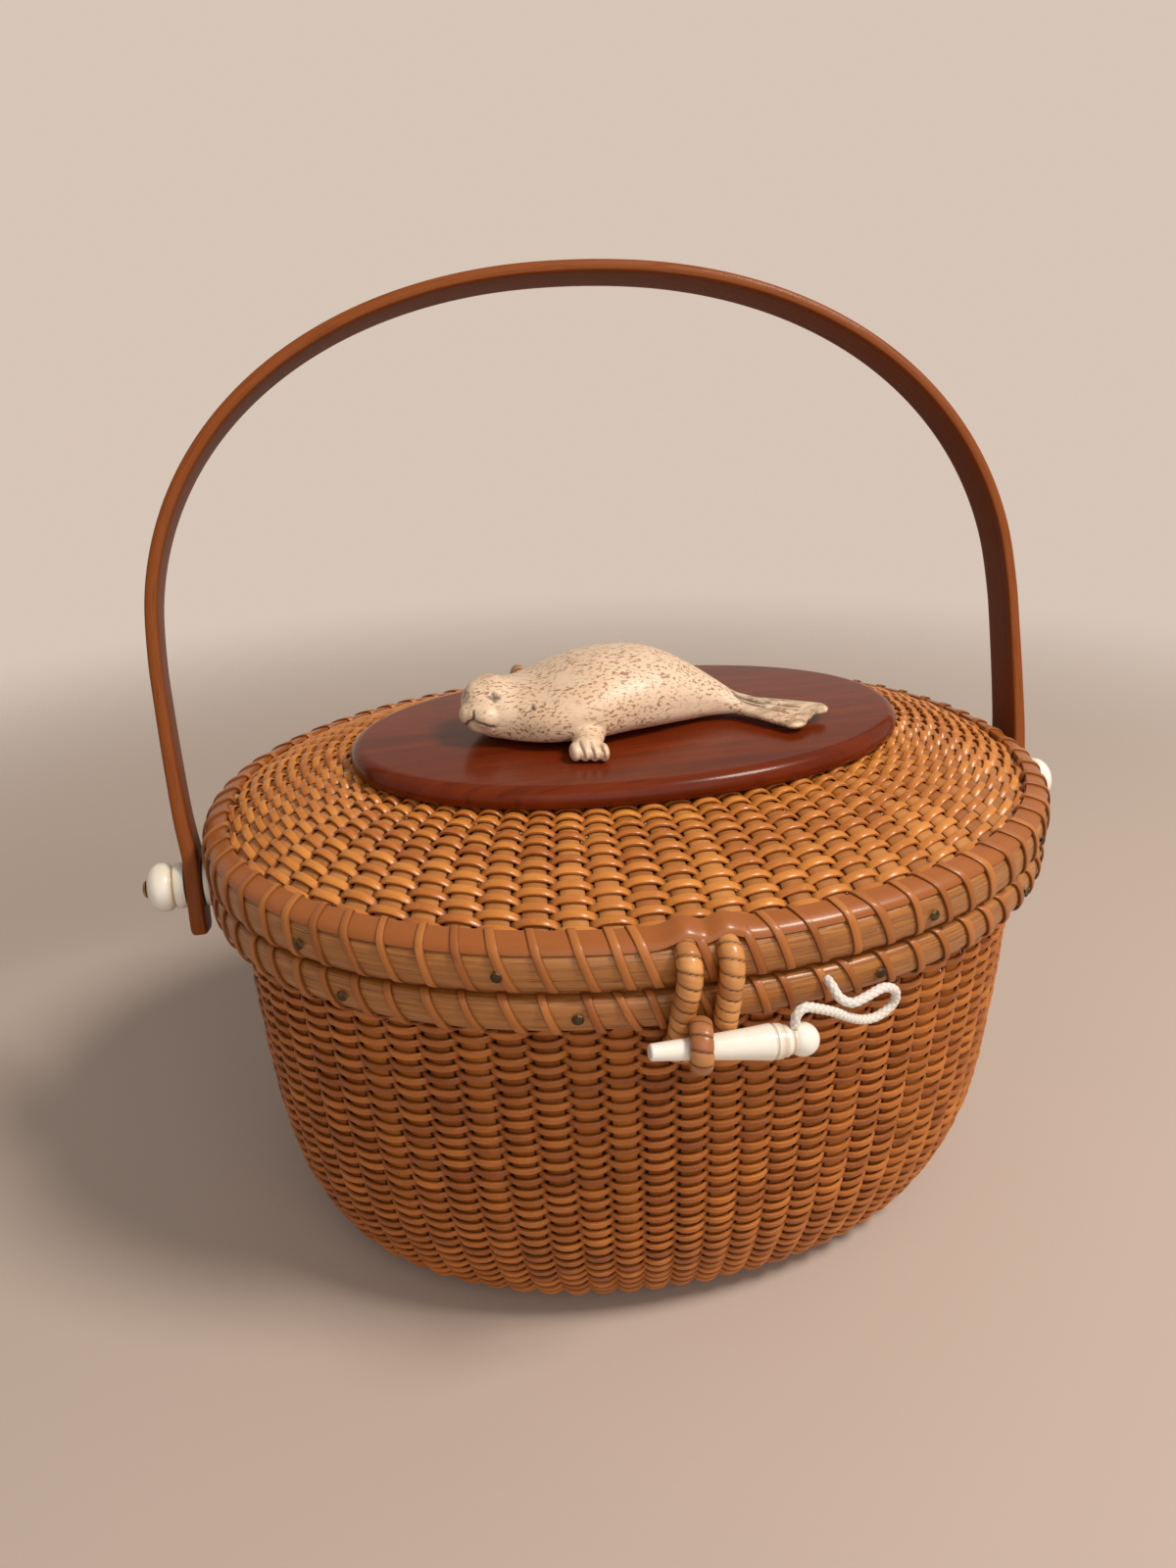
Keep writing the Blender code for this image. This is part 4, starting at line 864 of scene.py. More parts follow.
def turned(name, profile, steps=48, grooves=()):
    """Turn (place along X, radius) pairs about the X axis, darkening the (place, width) grooves."""
    bm = bmesh.new()
    verts = [bm.verts.new((along, 0.0, radius)) for along, radius in profile]
    edges = [bm.edges.new(pair) for pair in zip(verts, verts[1:])]
    bmesh.ops.spin(
        bm, geom=verts + edges, cent=(0, 0, 0), axis=(1, 0, 0), angle=math.tau, steps=steps, use_merge=True
    )
    bmesh.ops.remove_doubles(bm, verts=bm.verts, dist=1e-6)
    bmesh.ops.recalc_face_normals(bm, faces=bm.faces)
    layer = bm.verts.layers.float.new("tuck")
    for vert in bm.verts:
        near = (math.exp(-(((vert.co.x - at) / wide) ** 2)) for at, wide in grooves)
        vert[layer] = max(near, default=0.0)
    return shaded(name, meshed(name, bm), 35.0)


def lay(piece, location, direction):
    """Turn a piece's X axis to a direction and move it to a place."""
    turn = Vector((1.0, 0.0, 0.0)).rotation_difference(Vector(direction).normalized())
    piece.data.transform(Matrix.Translation(location) @ turn.to_matrix().to_4x4())
    return piece


def basket_parts(context):
    """The basket's sizes, its oval and the share of the oval where the clasp sits."""
    sizes = context.scene.basket_sizes
    oval = Oval(sizes)
    return sizes, oval, oval.front_share(context.scene.clasp_sizes.clasp_x)


def joint(name):
    """A joint of the construction, by its name."""
    return next(item for item in frame["joints"] if item["name"] == name)


# The wall's foot over the ground, then its top and its upright part's start under the parting.
WALL_FOOT, WALL_TOP, HOOP_FOOT = 0.0015, 0.0013, 0.0098


def body_skin(oval, sizes, weave):
    """The body's outer wall, from the base board's groove up to the rim."""
    upright = sizes.parting - HOOP_FOOT
    low = sizes.wall_inset + sizes.lower_inset
    profile = (
        (sizes.base_inset - sizes.wall, WALL_FOOT),
        (low + sizes.heel_inset, upright * 0.05),
        (low + sizes.heel_inset * 0.55, upright * 0.11),
        (low, upright * 0.28),
        (sizes.wall_inset + sizes.belly_inset, upright * 0.55),
        (sizes.wall_inset, upright),
        (sizes.wall_inset, sizes.parting - WALL_TOP),
    )
    return Skin(oval, ovals(oval.length, oval.width, profile), weave.base_fan, weave.rim_fan)


def lid_skin(oval, sizes, weave):
    """The lid's dome, from the rim to the board that holds its staves."""
    part = np.linspace(0.0, 1.0, 9)
    spans = []
    for rim, board in ((oval.length, sizes.board_half_length), (oval.width, sizes.board_half_width)):
        start = rim - sizes.dome_inset
        spans.append(start + (board - start) * part)
    rise = (sizes.plaque_rise - sizes.dome_rise) * (1.0 - (1.0 - part) ** sizes.dome_power)
    height = sizes.parting + sizes.dome_rise + rise
    return Skin(oval, stacked(*spans, height), weave.rim_fan, weave.board_fan)


class BASKET_OT_body_weave(bpy.types.Operator):
    """Weave the body round its staves"""

    bl_idname = "basket.body_weave"
    bl_label = "Body weave"

    first: length("First row", "Run of the lowest row up the wall", 0.0012)
    spare: length("Spare wall", "Wall over the highest row", 0.003)
    crowding: FloatProperty(name="Crowding", description="Over 1, the rows lie closer low down", default=1.05)

    def execute(self, context):
        sizes, oval, start = basket_parts(context)
        weave = context.scene.weave_sizes
        skin = body_skin(oval, sizes, weave)
        posts = staves("body_staves", skin, weave, start, low=0.0, steps=30, seed=11)
        settle(posts, "basket", "body_staves", "body_cane", "body_weave")
        span = skin.total - self.spare - self.first
        count = int(span / weave.body_pitch)
        rows = self.first + span * np.linspace(0.0, 1.0, count) ** self.crowding
        third = count // 3
        stretches = (("lower", 0, third), ("middle", third, 2 * third), ("upper", 2 * third, count))
        for name, first, last in stretches:
            stretch = rows[first:last]
            cane = weavers(f"body_weavers_{name}", skin, stretch, first, weave, start, seed=21 + first)
            settle(cane, "basket", "body_cane", "body_cane")
        return {"FINISHED"}


class BASKET_OT_lid_weave(bpy.types.Operator):
    """Weave the lid's dome out to its rim"""

    bl_idname = "basket.lid_weave"
    bl_label = "Lid weave"

    first: length("First row", "Run of the outermost row up the dome", 0.0009)
    under: length("Staves under the rim", "How far the staves reach under the rim", 0.001)
    woven: share("Woven part", "Part of the dome that is woven", 0.93)

    def execute(self, context):
        sizes, oval, start = basket_parts(context)
        weave = context.scene.weave_sizes
        skin = lid_skin(oval, sizes, weave)
        ribs = staves("lid_staves", skin, weave, start, low=-self.under, steps=24, seed=12)
        settle(ribs, "lid", "lid_staves", "lid_cane", "lid_weave")
        rows = np.arange(self.first, skin.total * self.woven, weave.lid_pitch)
        dome = weavers("lid_weavers", skin, rows, 1, weave, start, seed=41)
        settle(dome, "lid", "lid_cane", "lid_cane")
        return {"FINISHED"}


# The section of the lid's smooth strip, as (inset, height over the hoop).
LID_STRIP = (
    (0.0063, 0.0017), (0.0060, 0.0026), (0.0048, 0.0024), (0.0032, 0.0019), (0.0019, 0.0013),
    (0.0010, 0.0005), (0.0007, -0.0004), (0.0013, -0.0003), (0.0019, 0.0004), (0.0032, 0.0010),
    (0.0048, 0.0015),
)
NECK_LIP = 0.0002
LEGS_MIDDLE, LEG_OFFSET = 0.0014, 0.0046
HUMP_WIDTH, HUMP_HEIGHT = 0.0040, 0.0019


class BASKET_OT_rims(bpy.types.Operator):
    """Bend the hoops and strips of both rims"""

    bl_idname = "basket.rims"
    bl_label = "Hoops and strips"

    liner_inset: length("Liner inset", "From the rim's outside to the pale liner", 0.0056)
    liner_thickness: length("Liner thickness", "Thickness of the pale liner", 0.0007)
    overlap: length("Overlap", "How far the liner and the lid's band pass the hoops", 0.0012)
    cap_inset: length("Cap inset", "From the rim's outside to the body's strip", 0.0030)

    def execute(self, context):
        sizes, oval, _ = basket_parts(context)
        rims = context.scene.rim_sizes
        lid_floor = sizes.parting + GAP
        lid_top = lid_floor + rims.hoop_height
        band = rims.hoop_thickness + GAP
        band_back = band + sizes.wall
        neck = (
            (band, lid_floor), (band, lid_top + self.overlap),
            (band_back, lid_top + NECK_LIP), (band_back, lid_floor),
        )
        hoop_top = sizes.parting - rims.cap_thickness - GAP
        hoop_floor = hoop_top - rims.body_hoop_height
        body_inner = sizes.wall_inset + sizes.wall + GAP
        front, foot = self.liner_inset, hoop_floor - self.overlap
        back = front + self.liner_thickness
        liner = ((front, foot), (front, hoop_top), (back, hoop_top), (back, foot))
        floor, top = sizes.parting - rims.cap_thickness, sizes.parting
        outer, inner = self.cap_inset, body_inner + rims.inner_thickness * 0.8
        edge = rims.cap_thickness * 0.3
        cap = (
            (outer, floor), (outer, top - edge), (outer + edge, top),
            (inner - edge, top), (inner, top - edge), (inner, floor),
        )
        lid_hoop = half_round(0.0, lid_floor, rims.hoop_height, rims.hoop_thickness)
        body_hoop = half_round(GAP, hoop_floor, rims.body_hoop_height, rims.hoop_thickness)
        inside = (rims.inner_height, rims.inner_thickness, False)
        lid_inside = half_round(band_back + GAP, lid_floor, *inside)
        body_inside = half_round(body_inner, hoop_top - rims.inner_height, *inside)
        oak, reed, cane = ("hoop_oak", "hoop_wood"), "pale_reed", ("cap_cane", "cane_strip")
        for name, body, profile, *finish in (
            ("lid_rim_hoop", "lid", lid_hoop, *oak, "lid_outer_hoop"),
            ("lid_inside_hoop", "lid", lid_inside, *oak, "lid_inner_hoop"),
            ("lid_neck_band", "lid", neck, reed, "lid_cane"),
            ("body_rim_hoop", "basket", body_hoop, *oak, "body_outer_hoop"),
            ("body_inside_hoop", "basket", body_inside, *oak, "body_inner_hoop"),
            ("body_pale_liner", "basket", liner, reed, reed, "body_rim_liner"),
            ("body_cap", "basket", cap, *cane, "body_rim_cap"),
        ):
            settle(ring(name, oval, profile), body, *finish)
        strip = self.cap_strip(oval, lid_top + GAP, context.scene.clasp_sizes.clasp_x + LEGS_MIDDLE)
        settle(strip, "lid", *cane, "lid_cap_strip")
        return {"FINISHED"}

    def cap_strip(self, oval, floor, middle):
        """The smooth strip on the lid's rim, humped where it goes over the hasp's two legs."""
        legs = [oval.front_share(middle + side * LEG_OFFSET) for side in (-1.0, 1.0)]

        def place(_, u, v):
            inset, height = picked(LID_STRIP, v).T
            away = np.min([np.abs(u - leg) for leg in legs], axis=0) * oval.girth
            hump = np.exp(-((away / HUMP_WIDTH) ** 2))
            points = oval.rim(u, inset, floor + height + hump * HUMP_HEIGHT)
            return points, strands(u * oval.girth, inset * 300.0, 0.6)

        return bent_grid("lid_top_strip", 780, len(LID_STRIP), 1, place, closed=True)


ROOM_SHIFT, ROOM_REACH, SPACING_ERROR = 0.0042, 0.013, 0.0007


def spread_shares(oval, count, start, seed):
    """Lashings at equal steps along the rim, making room for the hasp's legs."""
    rng = np.random.default_rng(seed)
    shares = start + np.arange(count) / count
    away = (np.mod(shares - start + 0.5, 1.0) - 0.5) * oval.girth
    push = np.sign(away) * ROOM_SHIFT * np.exp(-((away / ROOM_REACH) ** 2))
    return shares + (push + rng.uniform(-SPACING_ERROR, SPACING_ERROR, len(shares))) / oval.girth


# Routes of the lashings as (inset, height): first over the hoop's top, then over its bottom.
LID_LASHING = (
    (
        (0.0074, -0.0004), (0.0069, 0.0020), (0.0060, 0.0032), (0.0044, 0.0029), (0.0028, 0.0023),
        (0.0014, 0.0015), (0.0004, 0.0002), (-0.0002, -0.0020), (-0.0004, -0.0047),
    ),
    ((-0.0002, 0.0024), (0.0005, 0.0008), (0.0018, 0.0002), (0.0032, 0.0006)),
)
BODY_LASHING = (
    ((0.0034, 0.0001), (0.0020, 0.0004), (0.0008, -0.0002), (0.0001, -0.0018), (-0.0002, -0.0042)),
    (
        (0.0001, 0.0018), (0.0009, 0.0001), (0.0024, -0.0010),
        (0.0042, -0.0018), (0.0060, -0.0019), (0.0076, -0.0012),
    ),
)


class BASKET_OT_lashings(bpy.types.Operator):
    """Lash both rims with split cane"""

    bl_idname = "basket.lashings"
    bl_label = "Lashings"

    def execute(self, context):
        sizes, oval, start = basket_parts(context)
        rims, count = context.scene.rim_sizes, context.scene.weave_sizes.lashings
        lid_floor = sizes.parting + GAP
        body_top = sizes.parting - rims.cap_thickness - GAP
        lid_levels = (lid_floor + rims.hoop_height, lid_floor)
        body_levels = (body_top, body_top - rims.body_hoop_height)
        for name, body, levels, routes, offset, seed in (
            ("lid_lashings", "lid", lid_levels, LID_LASHING, 0.0, 51),
            ("body_lashings", "basket", body_levels, BODY_LASHING, 0.4, 53),
        ):
            route = [(inset, level + rise) for level, part in zip(levels, routes) for inset, rise in part]
            shares = spread_shares(oval, count, start + offset / count, seed)
            settle(lashings(name, oval, route, shares, rims, seed + 1), body, "lash_cane", "cane_strip")
        return {"FINISHED"}


class BASKET_OT_boards(bpy.types.Operator):
    """Make the base board, the lid's board and the lacquered plaque"""

    bl_idname = "basket.boards"
    bl_label = "Boards and plaque"

    thickness: length("Base thickness", "Thickness of the base board", 0.009)
    edge: length("Base edge", "Radius of the base board's edges", 0.0012)
    groove: length("Groove", "Depth and top of the groove for the staves", 0.004)
    plaque_edge: length("Plaque edge", "Radius of the plaque's upper edge", 0.0034)

    def execute(self, context):
        sizes, oval, _ = basket_parts(context)
        edge, groove = self.edge, self.groove
        profile = [(edge, 0.0), (0.0, edge), (groove, edge), (groove, groove), (0.0, groove)]
        profile += quarter((0.0, self.thickness - edge), (edge, self.thickness))
        base = ovals(oval.length - sizes.base_inset, oval.width - sizes.base_inset, profile)
        settle(oval_slab("bottom_board", oval, base), "basket", "board_wood", "board_wood", "base_board")

        top = sizes.parting + sizes.plaque_rise
        drops = ((0.001, 0.006), (0.0, 0.005), (0.0, 0.0025), (0.003, 0.0025), (0.003, 0.0))
        profile = [(inset, top - drop) for inset, drop in drops]
        board = ovals(sizes.board_half_length, sizes.board_half_width, profile)
        settle(oval_slab("lid_core", oval, board), "lid", "board_wood", "board_wood", "lid_board")

        low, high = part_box("plaque")
        profile = [(0.0009, low[2]), (0.0003, low[2] + 0.0003), (0.0, low[2] + 0.0009)]
        profile += quarter((0.0, high[2] - self.plaque_edge), (self.plaque_edge, high[2]), 10)
        slab = ovals((high[0] - low[0]) / 2, (high[1] - low[1]) / 2, profile)
        settle(oval_slab("lacquered_plaque", oval, slab), "lid", "plaque_lacquer", "plaque_wood", "plaque")
        for side in ("left", "right"):
            finish_node(f"{side}_plaque_screw", "aged_brass")
            finish_node(f"{side}_burr", "aged_brass")
        return {"FINISHED"}


# The handle's foot as (share of the tail, share of its size).
FOOT_SHARES = (
    (-1.0, 0.30), (-0.97, 0.62), (-0.88, 0.85), (-0.70, 0.98), (-0.4, 1.0), (0.1, 1.0), (0.55, 1.0),
)
DEEP_POWER, WIDE_POWER = 0.35, 0.28
WASHER_SPACE = 0.0016


class BASKET_OT_handle(bpy.types.Operator):
    """Bend the swing handle"""

    bl_idname = "basket.handle"
    bl_label = "Handle"

    tail: length("Tail", "How far the feet reach under the pivots", 0.0135)
    crown_start: length("Crown start", "Height of the straight arms over the pivots", 0.060)
    crown_rise: length("Crown rise", "Rise of the arch over the arms", 0.0971)
    crown_power: FloatProperty(name="Crown power", description="2 is an ellipse", default=2.15)
    thickness: length("Thickness", "Thickness of the strip", 0.0035)
    foot_thickness: length("Foot thickness", "Thickness at the pivots", 0.0042)
    width: length("Width", "Width of the strip", 0.0125)
    foot_width: length("Foot width", "Width at the pivots", 0.0142)
    bow: length("Bow", "How far the arms bow out over the pivots", 0.0022)
    lean: FloatProperty(name="Lean", description="Backward lean", default=math.radians(20.3), subtype="ANGLE")

    def stations(self, foot_span):
        """Rows of (x, height, thickness, width) from one foot over the crown to the other."""
        arm = []
        for tail_share, size_share in FOOT_SHARES:
            thickness, width = self.foot_thickness * min(size_share * 1.3, 1.0), self.foot_width * size_share
            inset = (self.foot_thickness - thickness) / 2
            arm.append((foot_span - inset, self.tail * tail_share, thickness, width))
        for part in (0.3, 0.55, 0.8):
            blend = math.sin(part * math.pi / 2)
            thickness = self.foot_thickness + (self.thickness - self.foot_thickness) * blend
            width = self.foot_width + (self.width - self.foot_width) * blend
            arm.append((foot_span + self.bow * blend, self.crown_start * part, thickness, width))
        angle = math.pi * np.arange(25) / 24
        power = 2.0 / self.crown_power
        x = (foot_span + self.bow) * boxy(np.cos(angle), power)
        height = self.crown_start + self.crown_rise * np.abs(np.sin(angle)) ** power
        crown = stacked(x, height, self.thickness, self.width)
        return np.vstack([arm, crown, np.array(arm[::-1]) * (-1.0, 1.0, 1.0, 1.0)])

    def execute(self, context):
        pivot = np.array(Vector(joint("handle_swing")["pos_m"]))
        foot_span = context.scene.basket_sizes.half_length + 2 * GAP + WASHER_SPACE + self.foot_thickness
        table = eased(self.stations(foot_span), 5)
        slope = unit(np.gradient(table[:, :2], axis=0))
        inward = stacked(-slope[:, 1], slope[:, 0])
        flat = np.abs(table[:, 1]) < self.tail * 1.1
        inward[flat] = stacked(-np.sign(table[flat, 0]), 0.0)
        table = stacked(*table.T, *inward.T, travelled(table[:, :2]))
        turn = np.array(Matrix.Rotation(-self.lean, 3, "X"))

        def place(_, u, v):
            x, height, thickness, width, in_x, in_z, run = picked(table, u, closed=False).T
            angle = np.mod(v, 1.0) * math.tau
            deep = 0.5 + 0.5 * boxy(np.cos(angle), DEEP_POWER)
            wide = 0.5 * boxy(np.sin(angle), WIDE_POWER)
            upright = stacked(x + in_x * thickness * deep, wide * width, height + in_z * thickness * deep)
            # Painted highlight on the strip's edges, read by the handle's look.
            edge = np.clip((np.abs(wide) - 0.40) / 0.1, 0.0, 1.0)
            return upright @ turn.T + pivot, strands(run, wide * 2.0, deep, edge)

        piece = bent_grid("bent_handle", len(table) - 1, 24, 1, place)
        settle(piece, "handle", "handle_cherry", "handle_wood", "handle")
        return {"FINISHED"}


# A knob's profile as (share of its length, share of its radius), with its groove's place and width.
KNOB_PROFILE = (
    (0.0, 0.84), (0.03, 0.92), (0.15, 0.95), (0.27, 0.92), (0.30, 0.84), (0.35, 0.87),
    (0.42, 0.96), (0.55, 1.0), (0.74, 0.95), (0.90, 0.74), (0.98, 0.46), (1.0, 0.34),
)
KNOB_COLLAR, KNOB_GROOVE = 0.30, 0.0004
BORE = 0.0015


class BASKET_OT_pivots(bpy.types.Operator):
    """Turn the knobs and washers of the handle's pivots"""

    bl_idname = "basket.pivots"
    bl_label = "Knobs and washers"

    def execute(self, context):
        for side, sign in (("left", -1.0), ("right", 1.0)):
            start, whole, radius, middle = self.room(f"{side}_knob", sign)
            shape = [(whole * along, radius * size) for along, size in KNOB_PROFILE]
            profile = eased([(0.0, BORE), *shape, (whole, BORE)], 4)
            knob = turned(f"{side}_turned_knob", profile, 48, ((whole * KNOB_COLLAR, KNOB_GROOVE),))
            lay(knob, (start, *middle), (sign, 0.0, 0.0))
            settle(knob, "basket", "turned_bone", "turned_bone", f"{side}_knob")
            start, thick, radius, _ = self.room(f"{side}_washer", sign)
            rim = thick * 0.3
            half = [(0.0, BORE), (0.0, radius - rim), (rim * 0.3, radius - rim * 0.3), (rim, radius)]
            washer = turned(f"{side}_bone_washer", half + [(thick - x, size) for x, size in half[::-1]])
            lay(washer, (start, *middle), (sign, 0.0, 0.0))
            settle(washer, "basket", "turned_bone", "turned_bone", f"{side}_washer")
            finish_node(f"{side}_pin", "aged_brass")
        return {"FINISHED"}

    def room(self, node, sign):
        """Where a turned piece starts along X, its length and radius, and its axis's place in Y and Z."""
        low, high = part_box(node)
        middle = [(a + b) / 2 for a, b in zip(low[1:], high[1:])]
        return (low if sign > 0 else high)[0], high[0] - low[0], (high[1] - low[1]) / 2, middle


HASP_LEG = (
    (0.0031, -0.08717, 0.0938), (0.0048, -0.08855, 0.09655), (0.0049, -0.09232, 0.10055),
    (0.0049, -0.09372, 0.1085), (0.0047, -0.09402, 0.1130), (0.0046, -0.09400, 0.1163),
    (0.0046, -0.09300, 0.1192), (0.0046, -0.09070, 0.1211), (0.0046, -0.08720, 0.1217),
    (0.0045, -0.08350, 0.1215), (0.0028, -0.07770, 0.1203),
)
HASP_LEAN, HASP_LEAN_START, HASP_LEAN_SPAN, HASP_ASIDE = 0.0018, 0.104, 0.014, 0.0004
HASP_SLIM, HASP_SLIM_HEIGHT = 0.2, 0.1205
# The staple's ring starts at an angle and turns by a step for each point, in degrees.
STAPLE_RAISE, STAPLE_START, STAPLE_STEP, STAPLE_POINTS = 0.0004, -42.0, -19.6, 15
STAPLE_TURN, STAPLE_ASIDE = -14.0, 0.0022
PEG_TIP_SPARE = 0.0011
# The peg's collar and neck as (share of its length, share of its radius).
PEG_COLLAR = (
    (0.69, 0.99), (0.707, 1.0), (0.713, 0.93), (0.722, 0.92), (0.731, 0.98),
    (0.768, 0.97), (0.776, 0.91), (0.800, 0.90), (0.812, 0.81), (0.830, 0.78),
)


def staple_middle():
    """The middle of the staple's ring, which the peg's axis runs through."""
    low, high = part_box("staple_loop")
    return Vector(((low[0] + high[0]) / 2, low[1] + (high[2] - low[2]) / 2, (low[2] + high[2]) / 2))


class BASKET_OT_clasp(bpy.types.Operator):
    """Wrap the hasp and the staple, and turn the peg"""

    bl_idname = "basket.clasp"
    bl_label = "Hasp, staple and peg"

    bar: length("Staple bar", "Radius of the staple's wrapped bar", 0.0016)
    loop: length("Staple ring", "Radius of the staple's ring", 0.0046)
    stretch: FloatProperty(name="Staple stretch", description="Width of its bar over its depth", default=1.55)
    peg_length: length("Peg length", "Length of the peg", 0.0374)
    peg_radius: length("Peg radius", "Radius of the peg's collar", 0.0039)
    ball: length("Peg ball", "Radius of the peg's ball", 0.0037)

    def execute(self, context):
        clasp = context.scene.clasp_sizes
        out, y, z = np.array(HASP_LEG).T
        lean = HASP_LEAN * np.clip((z - HASP_LEAN_START) / HASP_LEAN_SPAN, 0.0, 1.0) - HASP_ASIDE
        middle = clasp.clasp_x + lean
        path = eased_loop(np.vstack([stacked(middle + out, y, z), stacked(middle - out, y, z)[::-1]]))
        hasp = wound(
            "wrapped_hasp", path, clasp.tube * 1.1, clasp.wrap_pitch, True,
            steps=420, seed=61, slim=HASP_SLIM, above=HASP_SLIM_HEIGHT,
        )
        settle(hasp, "lid", "wrap_cane", "cane_wrap", "hasp_loop")
        self.staple(clasp.wrap_pitch)
        self.peg()
        return {"FINISHED"}

    def staple(self, pitch):
        """A wrapped ring standing out of the wall, with its two ends going in side by side."""
        wall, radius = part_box("staple_loop")[1][1], self.loop
        x, y, z = staple_middle() + Vector((0.0, 0.0, STAPLE_RAISE))
        turns = np.radians(STAPLE_START + STAPLE_STEP * np.arange(STAPLE_POINTS))
        arc = stacked(x, y + radius * np.cos(turns), z + radius * np.sin(turns))
        ends = ((x, y + radius * 1.15, z + radius * 0.35), (x, wall - 0.004, z - 0.0016))
        route = np.vstack([(x, wall, z - 0.0036), arc, ends])
        staple = wound("wrapped_staple", eased(route, 8), self.bar, pitch, False, steps=260, seed=62)
        turn = Matrix.Rotation(math.radians(STAPLE_TURN), 4, "Z")
        wide = Matrix.Diagonal((self.stretch, 1.0, 1.0, 1.0))
        neck = Vector(route[0])
        aside = Matrix.Translation(neck + Vector((STAPLE_ASIDE, 0.0, 0.0)))
        staple.data.transform(aside @ (turn @ wide) @ Matrix.Translation(-neck))
        settle(staple, "basket", "staple_cane", "cane_wrap", "staple_loop")

    def peg(self):
        """A turned peg, tapered, with a collar, two scored lines, a neck and a ball."""
        axis = Vector(joint("peg_slide")["axis"]).normalized()
        total, ball, middle = self.peg_length, self.ball, staple_middle()
        tip = middle + axis * ((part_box("peg")[0][0] - PEG_TIP_SPARE - middle.x) / axis.x)
        profile = [(0.0, 0.0), (0.0, 0.0015), (0.0003, 0.0018)]
        profile += [(total * 0.26, 0.00245), (total * 0.42, 0.0029), (total * 0.58, 0.0034)]
        profile += [(total * along, self.peg_radius * size) for along, size in PEG_COLLAR]
        for angle in np.radians(np.linspace(54.0, 180.0, 14)):
            profile.append((total - ball * (1.0 + math.cos(angle)), max(ball * math.sin(angle), 0.0)))
        lines = ((total * 0.718, 0.0002), (total * 0.772, 0.0002), (total * 0.828, 0.0004))
        piece = lay(turned("turned_peg", profile, 64, lines), tip, axis)
        settle(piece, "peg", "turned_bone", "turned_bone", "peg")


CORD_ROUTE = (
    (0.0205, -0.0900, 0.1088), (0.0208, -0.0922, 0.1083), (0.0218, -0.0942, 0.1064),
    (0.0246, -0.0948, 0.1050), (0.0286, -0.0938, 0.1054), (0.0332, -0.0920, 0.1056),
    (0.0368, -0.0905, 0.1032), (0.0369, -0.0900, 0.0996), (0.0330, -0.0908, 0.0974),
    (0.0288, -0.0920, 0.0980), (0.0242, -0.0942, 0.1010), (0.0198, -0.0962, 0.1044),
    (0.0152, -0.0978, 0.1072), (0.0118, -0.0988, 0.1087), (0.0098, -0.0992, 0.1074),
    (0.0096, -0.0992, 0.1044),
)


class BASKET_OT_cord(bpy.types.Operator):
    """Braid the cord that keeps the peg"""

    bl_idname = "basket.cord"
    bl_label = "Peg cord"

    def execute(self, context):
        diameter = context.scene.clasp_sizes.cord_diameter
        path = eased(CORD_ROUTE, 10)
        total = travelled(path)[-1]
        turns = total / (diameter * 0.75)

        def shape(distance, turn):
            phase = distance / total * turns
            ridge = np.abs(np.sin(math.pi * (4.0 * turn + phase)) * np.sin(math.pi * (4.0 * turn - phase)))
            # Painted shade in the valleys between the braid's strands.
            values = strands(distance, turn, phase, 1.0 - np.clip(ridge * 1.6, 0.0, 1.0))
            return diameter / 2 * (0.86 + 0.16 * np.sqrt(ridge)), values

        cord = swept("peg_cord", path, 24, shape, False, 420)
        cord.data.materials.append(look_for("braided_cord"))
        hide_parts("tether_cord")
        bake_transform(cord)
        return {"FINISHED"}


class BASKET_OT_hinges(bpy.types.Operator):
    """Wrap the two hinge rings at the back"""

    bl_idname = "basket.hinges"
    bl_label = "Hinge rings"

    def execute(self, context):
        angles = np.linspace(0.0, math.tau, 97)[:-1]
        for side in ("left", "right"):
            low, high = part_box(f"{side}_hinge_ring")
            tube = (high[0] - low[0]) / 2
            radius = (high[2] - low[2]) / 2 - tube
            x, y, z = ((a + b) / 2 for a, b in zip(low, high))
            route = stacked(x, y + radius * np.cos(angles), z + radius * np.sin(angles))
            pitch = context.scene.clasp_sizes.wrap_pitch
            piece = wound(f"{side}_wrapped_ring", route, tube, pitch, True, steps=360, seed=71)
            settle(piece, "basket", "wrap_cane", "cane_wrap", f"{side}_hinge_ring")
        return {"FINISHED"}


class BASKET_OT_nails(bpy.types.Operator):
    """Give the small nails that pin the hoops their dark iron finish"""

    bl_idname = "basket.nails"
    bl_label = "Nails"

    def execute(self, context):
        for name in frame["nodes"]:
            if "_nail_" in name:
                finish_node(name, "dark_iron")
        return {"FINISHED"}


def ellipsoid(bm, centre, radii, turn=0.0):
    """A ball stretched to three radii and turned about Z."""
    matrix = Matrix.Translation(centre) @ Matrix.Rotation(turn, 4, "Z") @ Matrix.Diagonal((*radii, 1.0))
    bmesh.ops.create_icosphere(bm, subdivisions=4, radius=1.0, matrix=matrix)


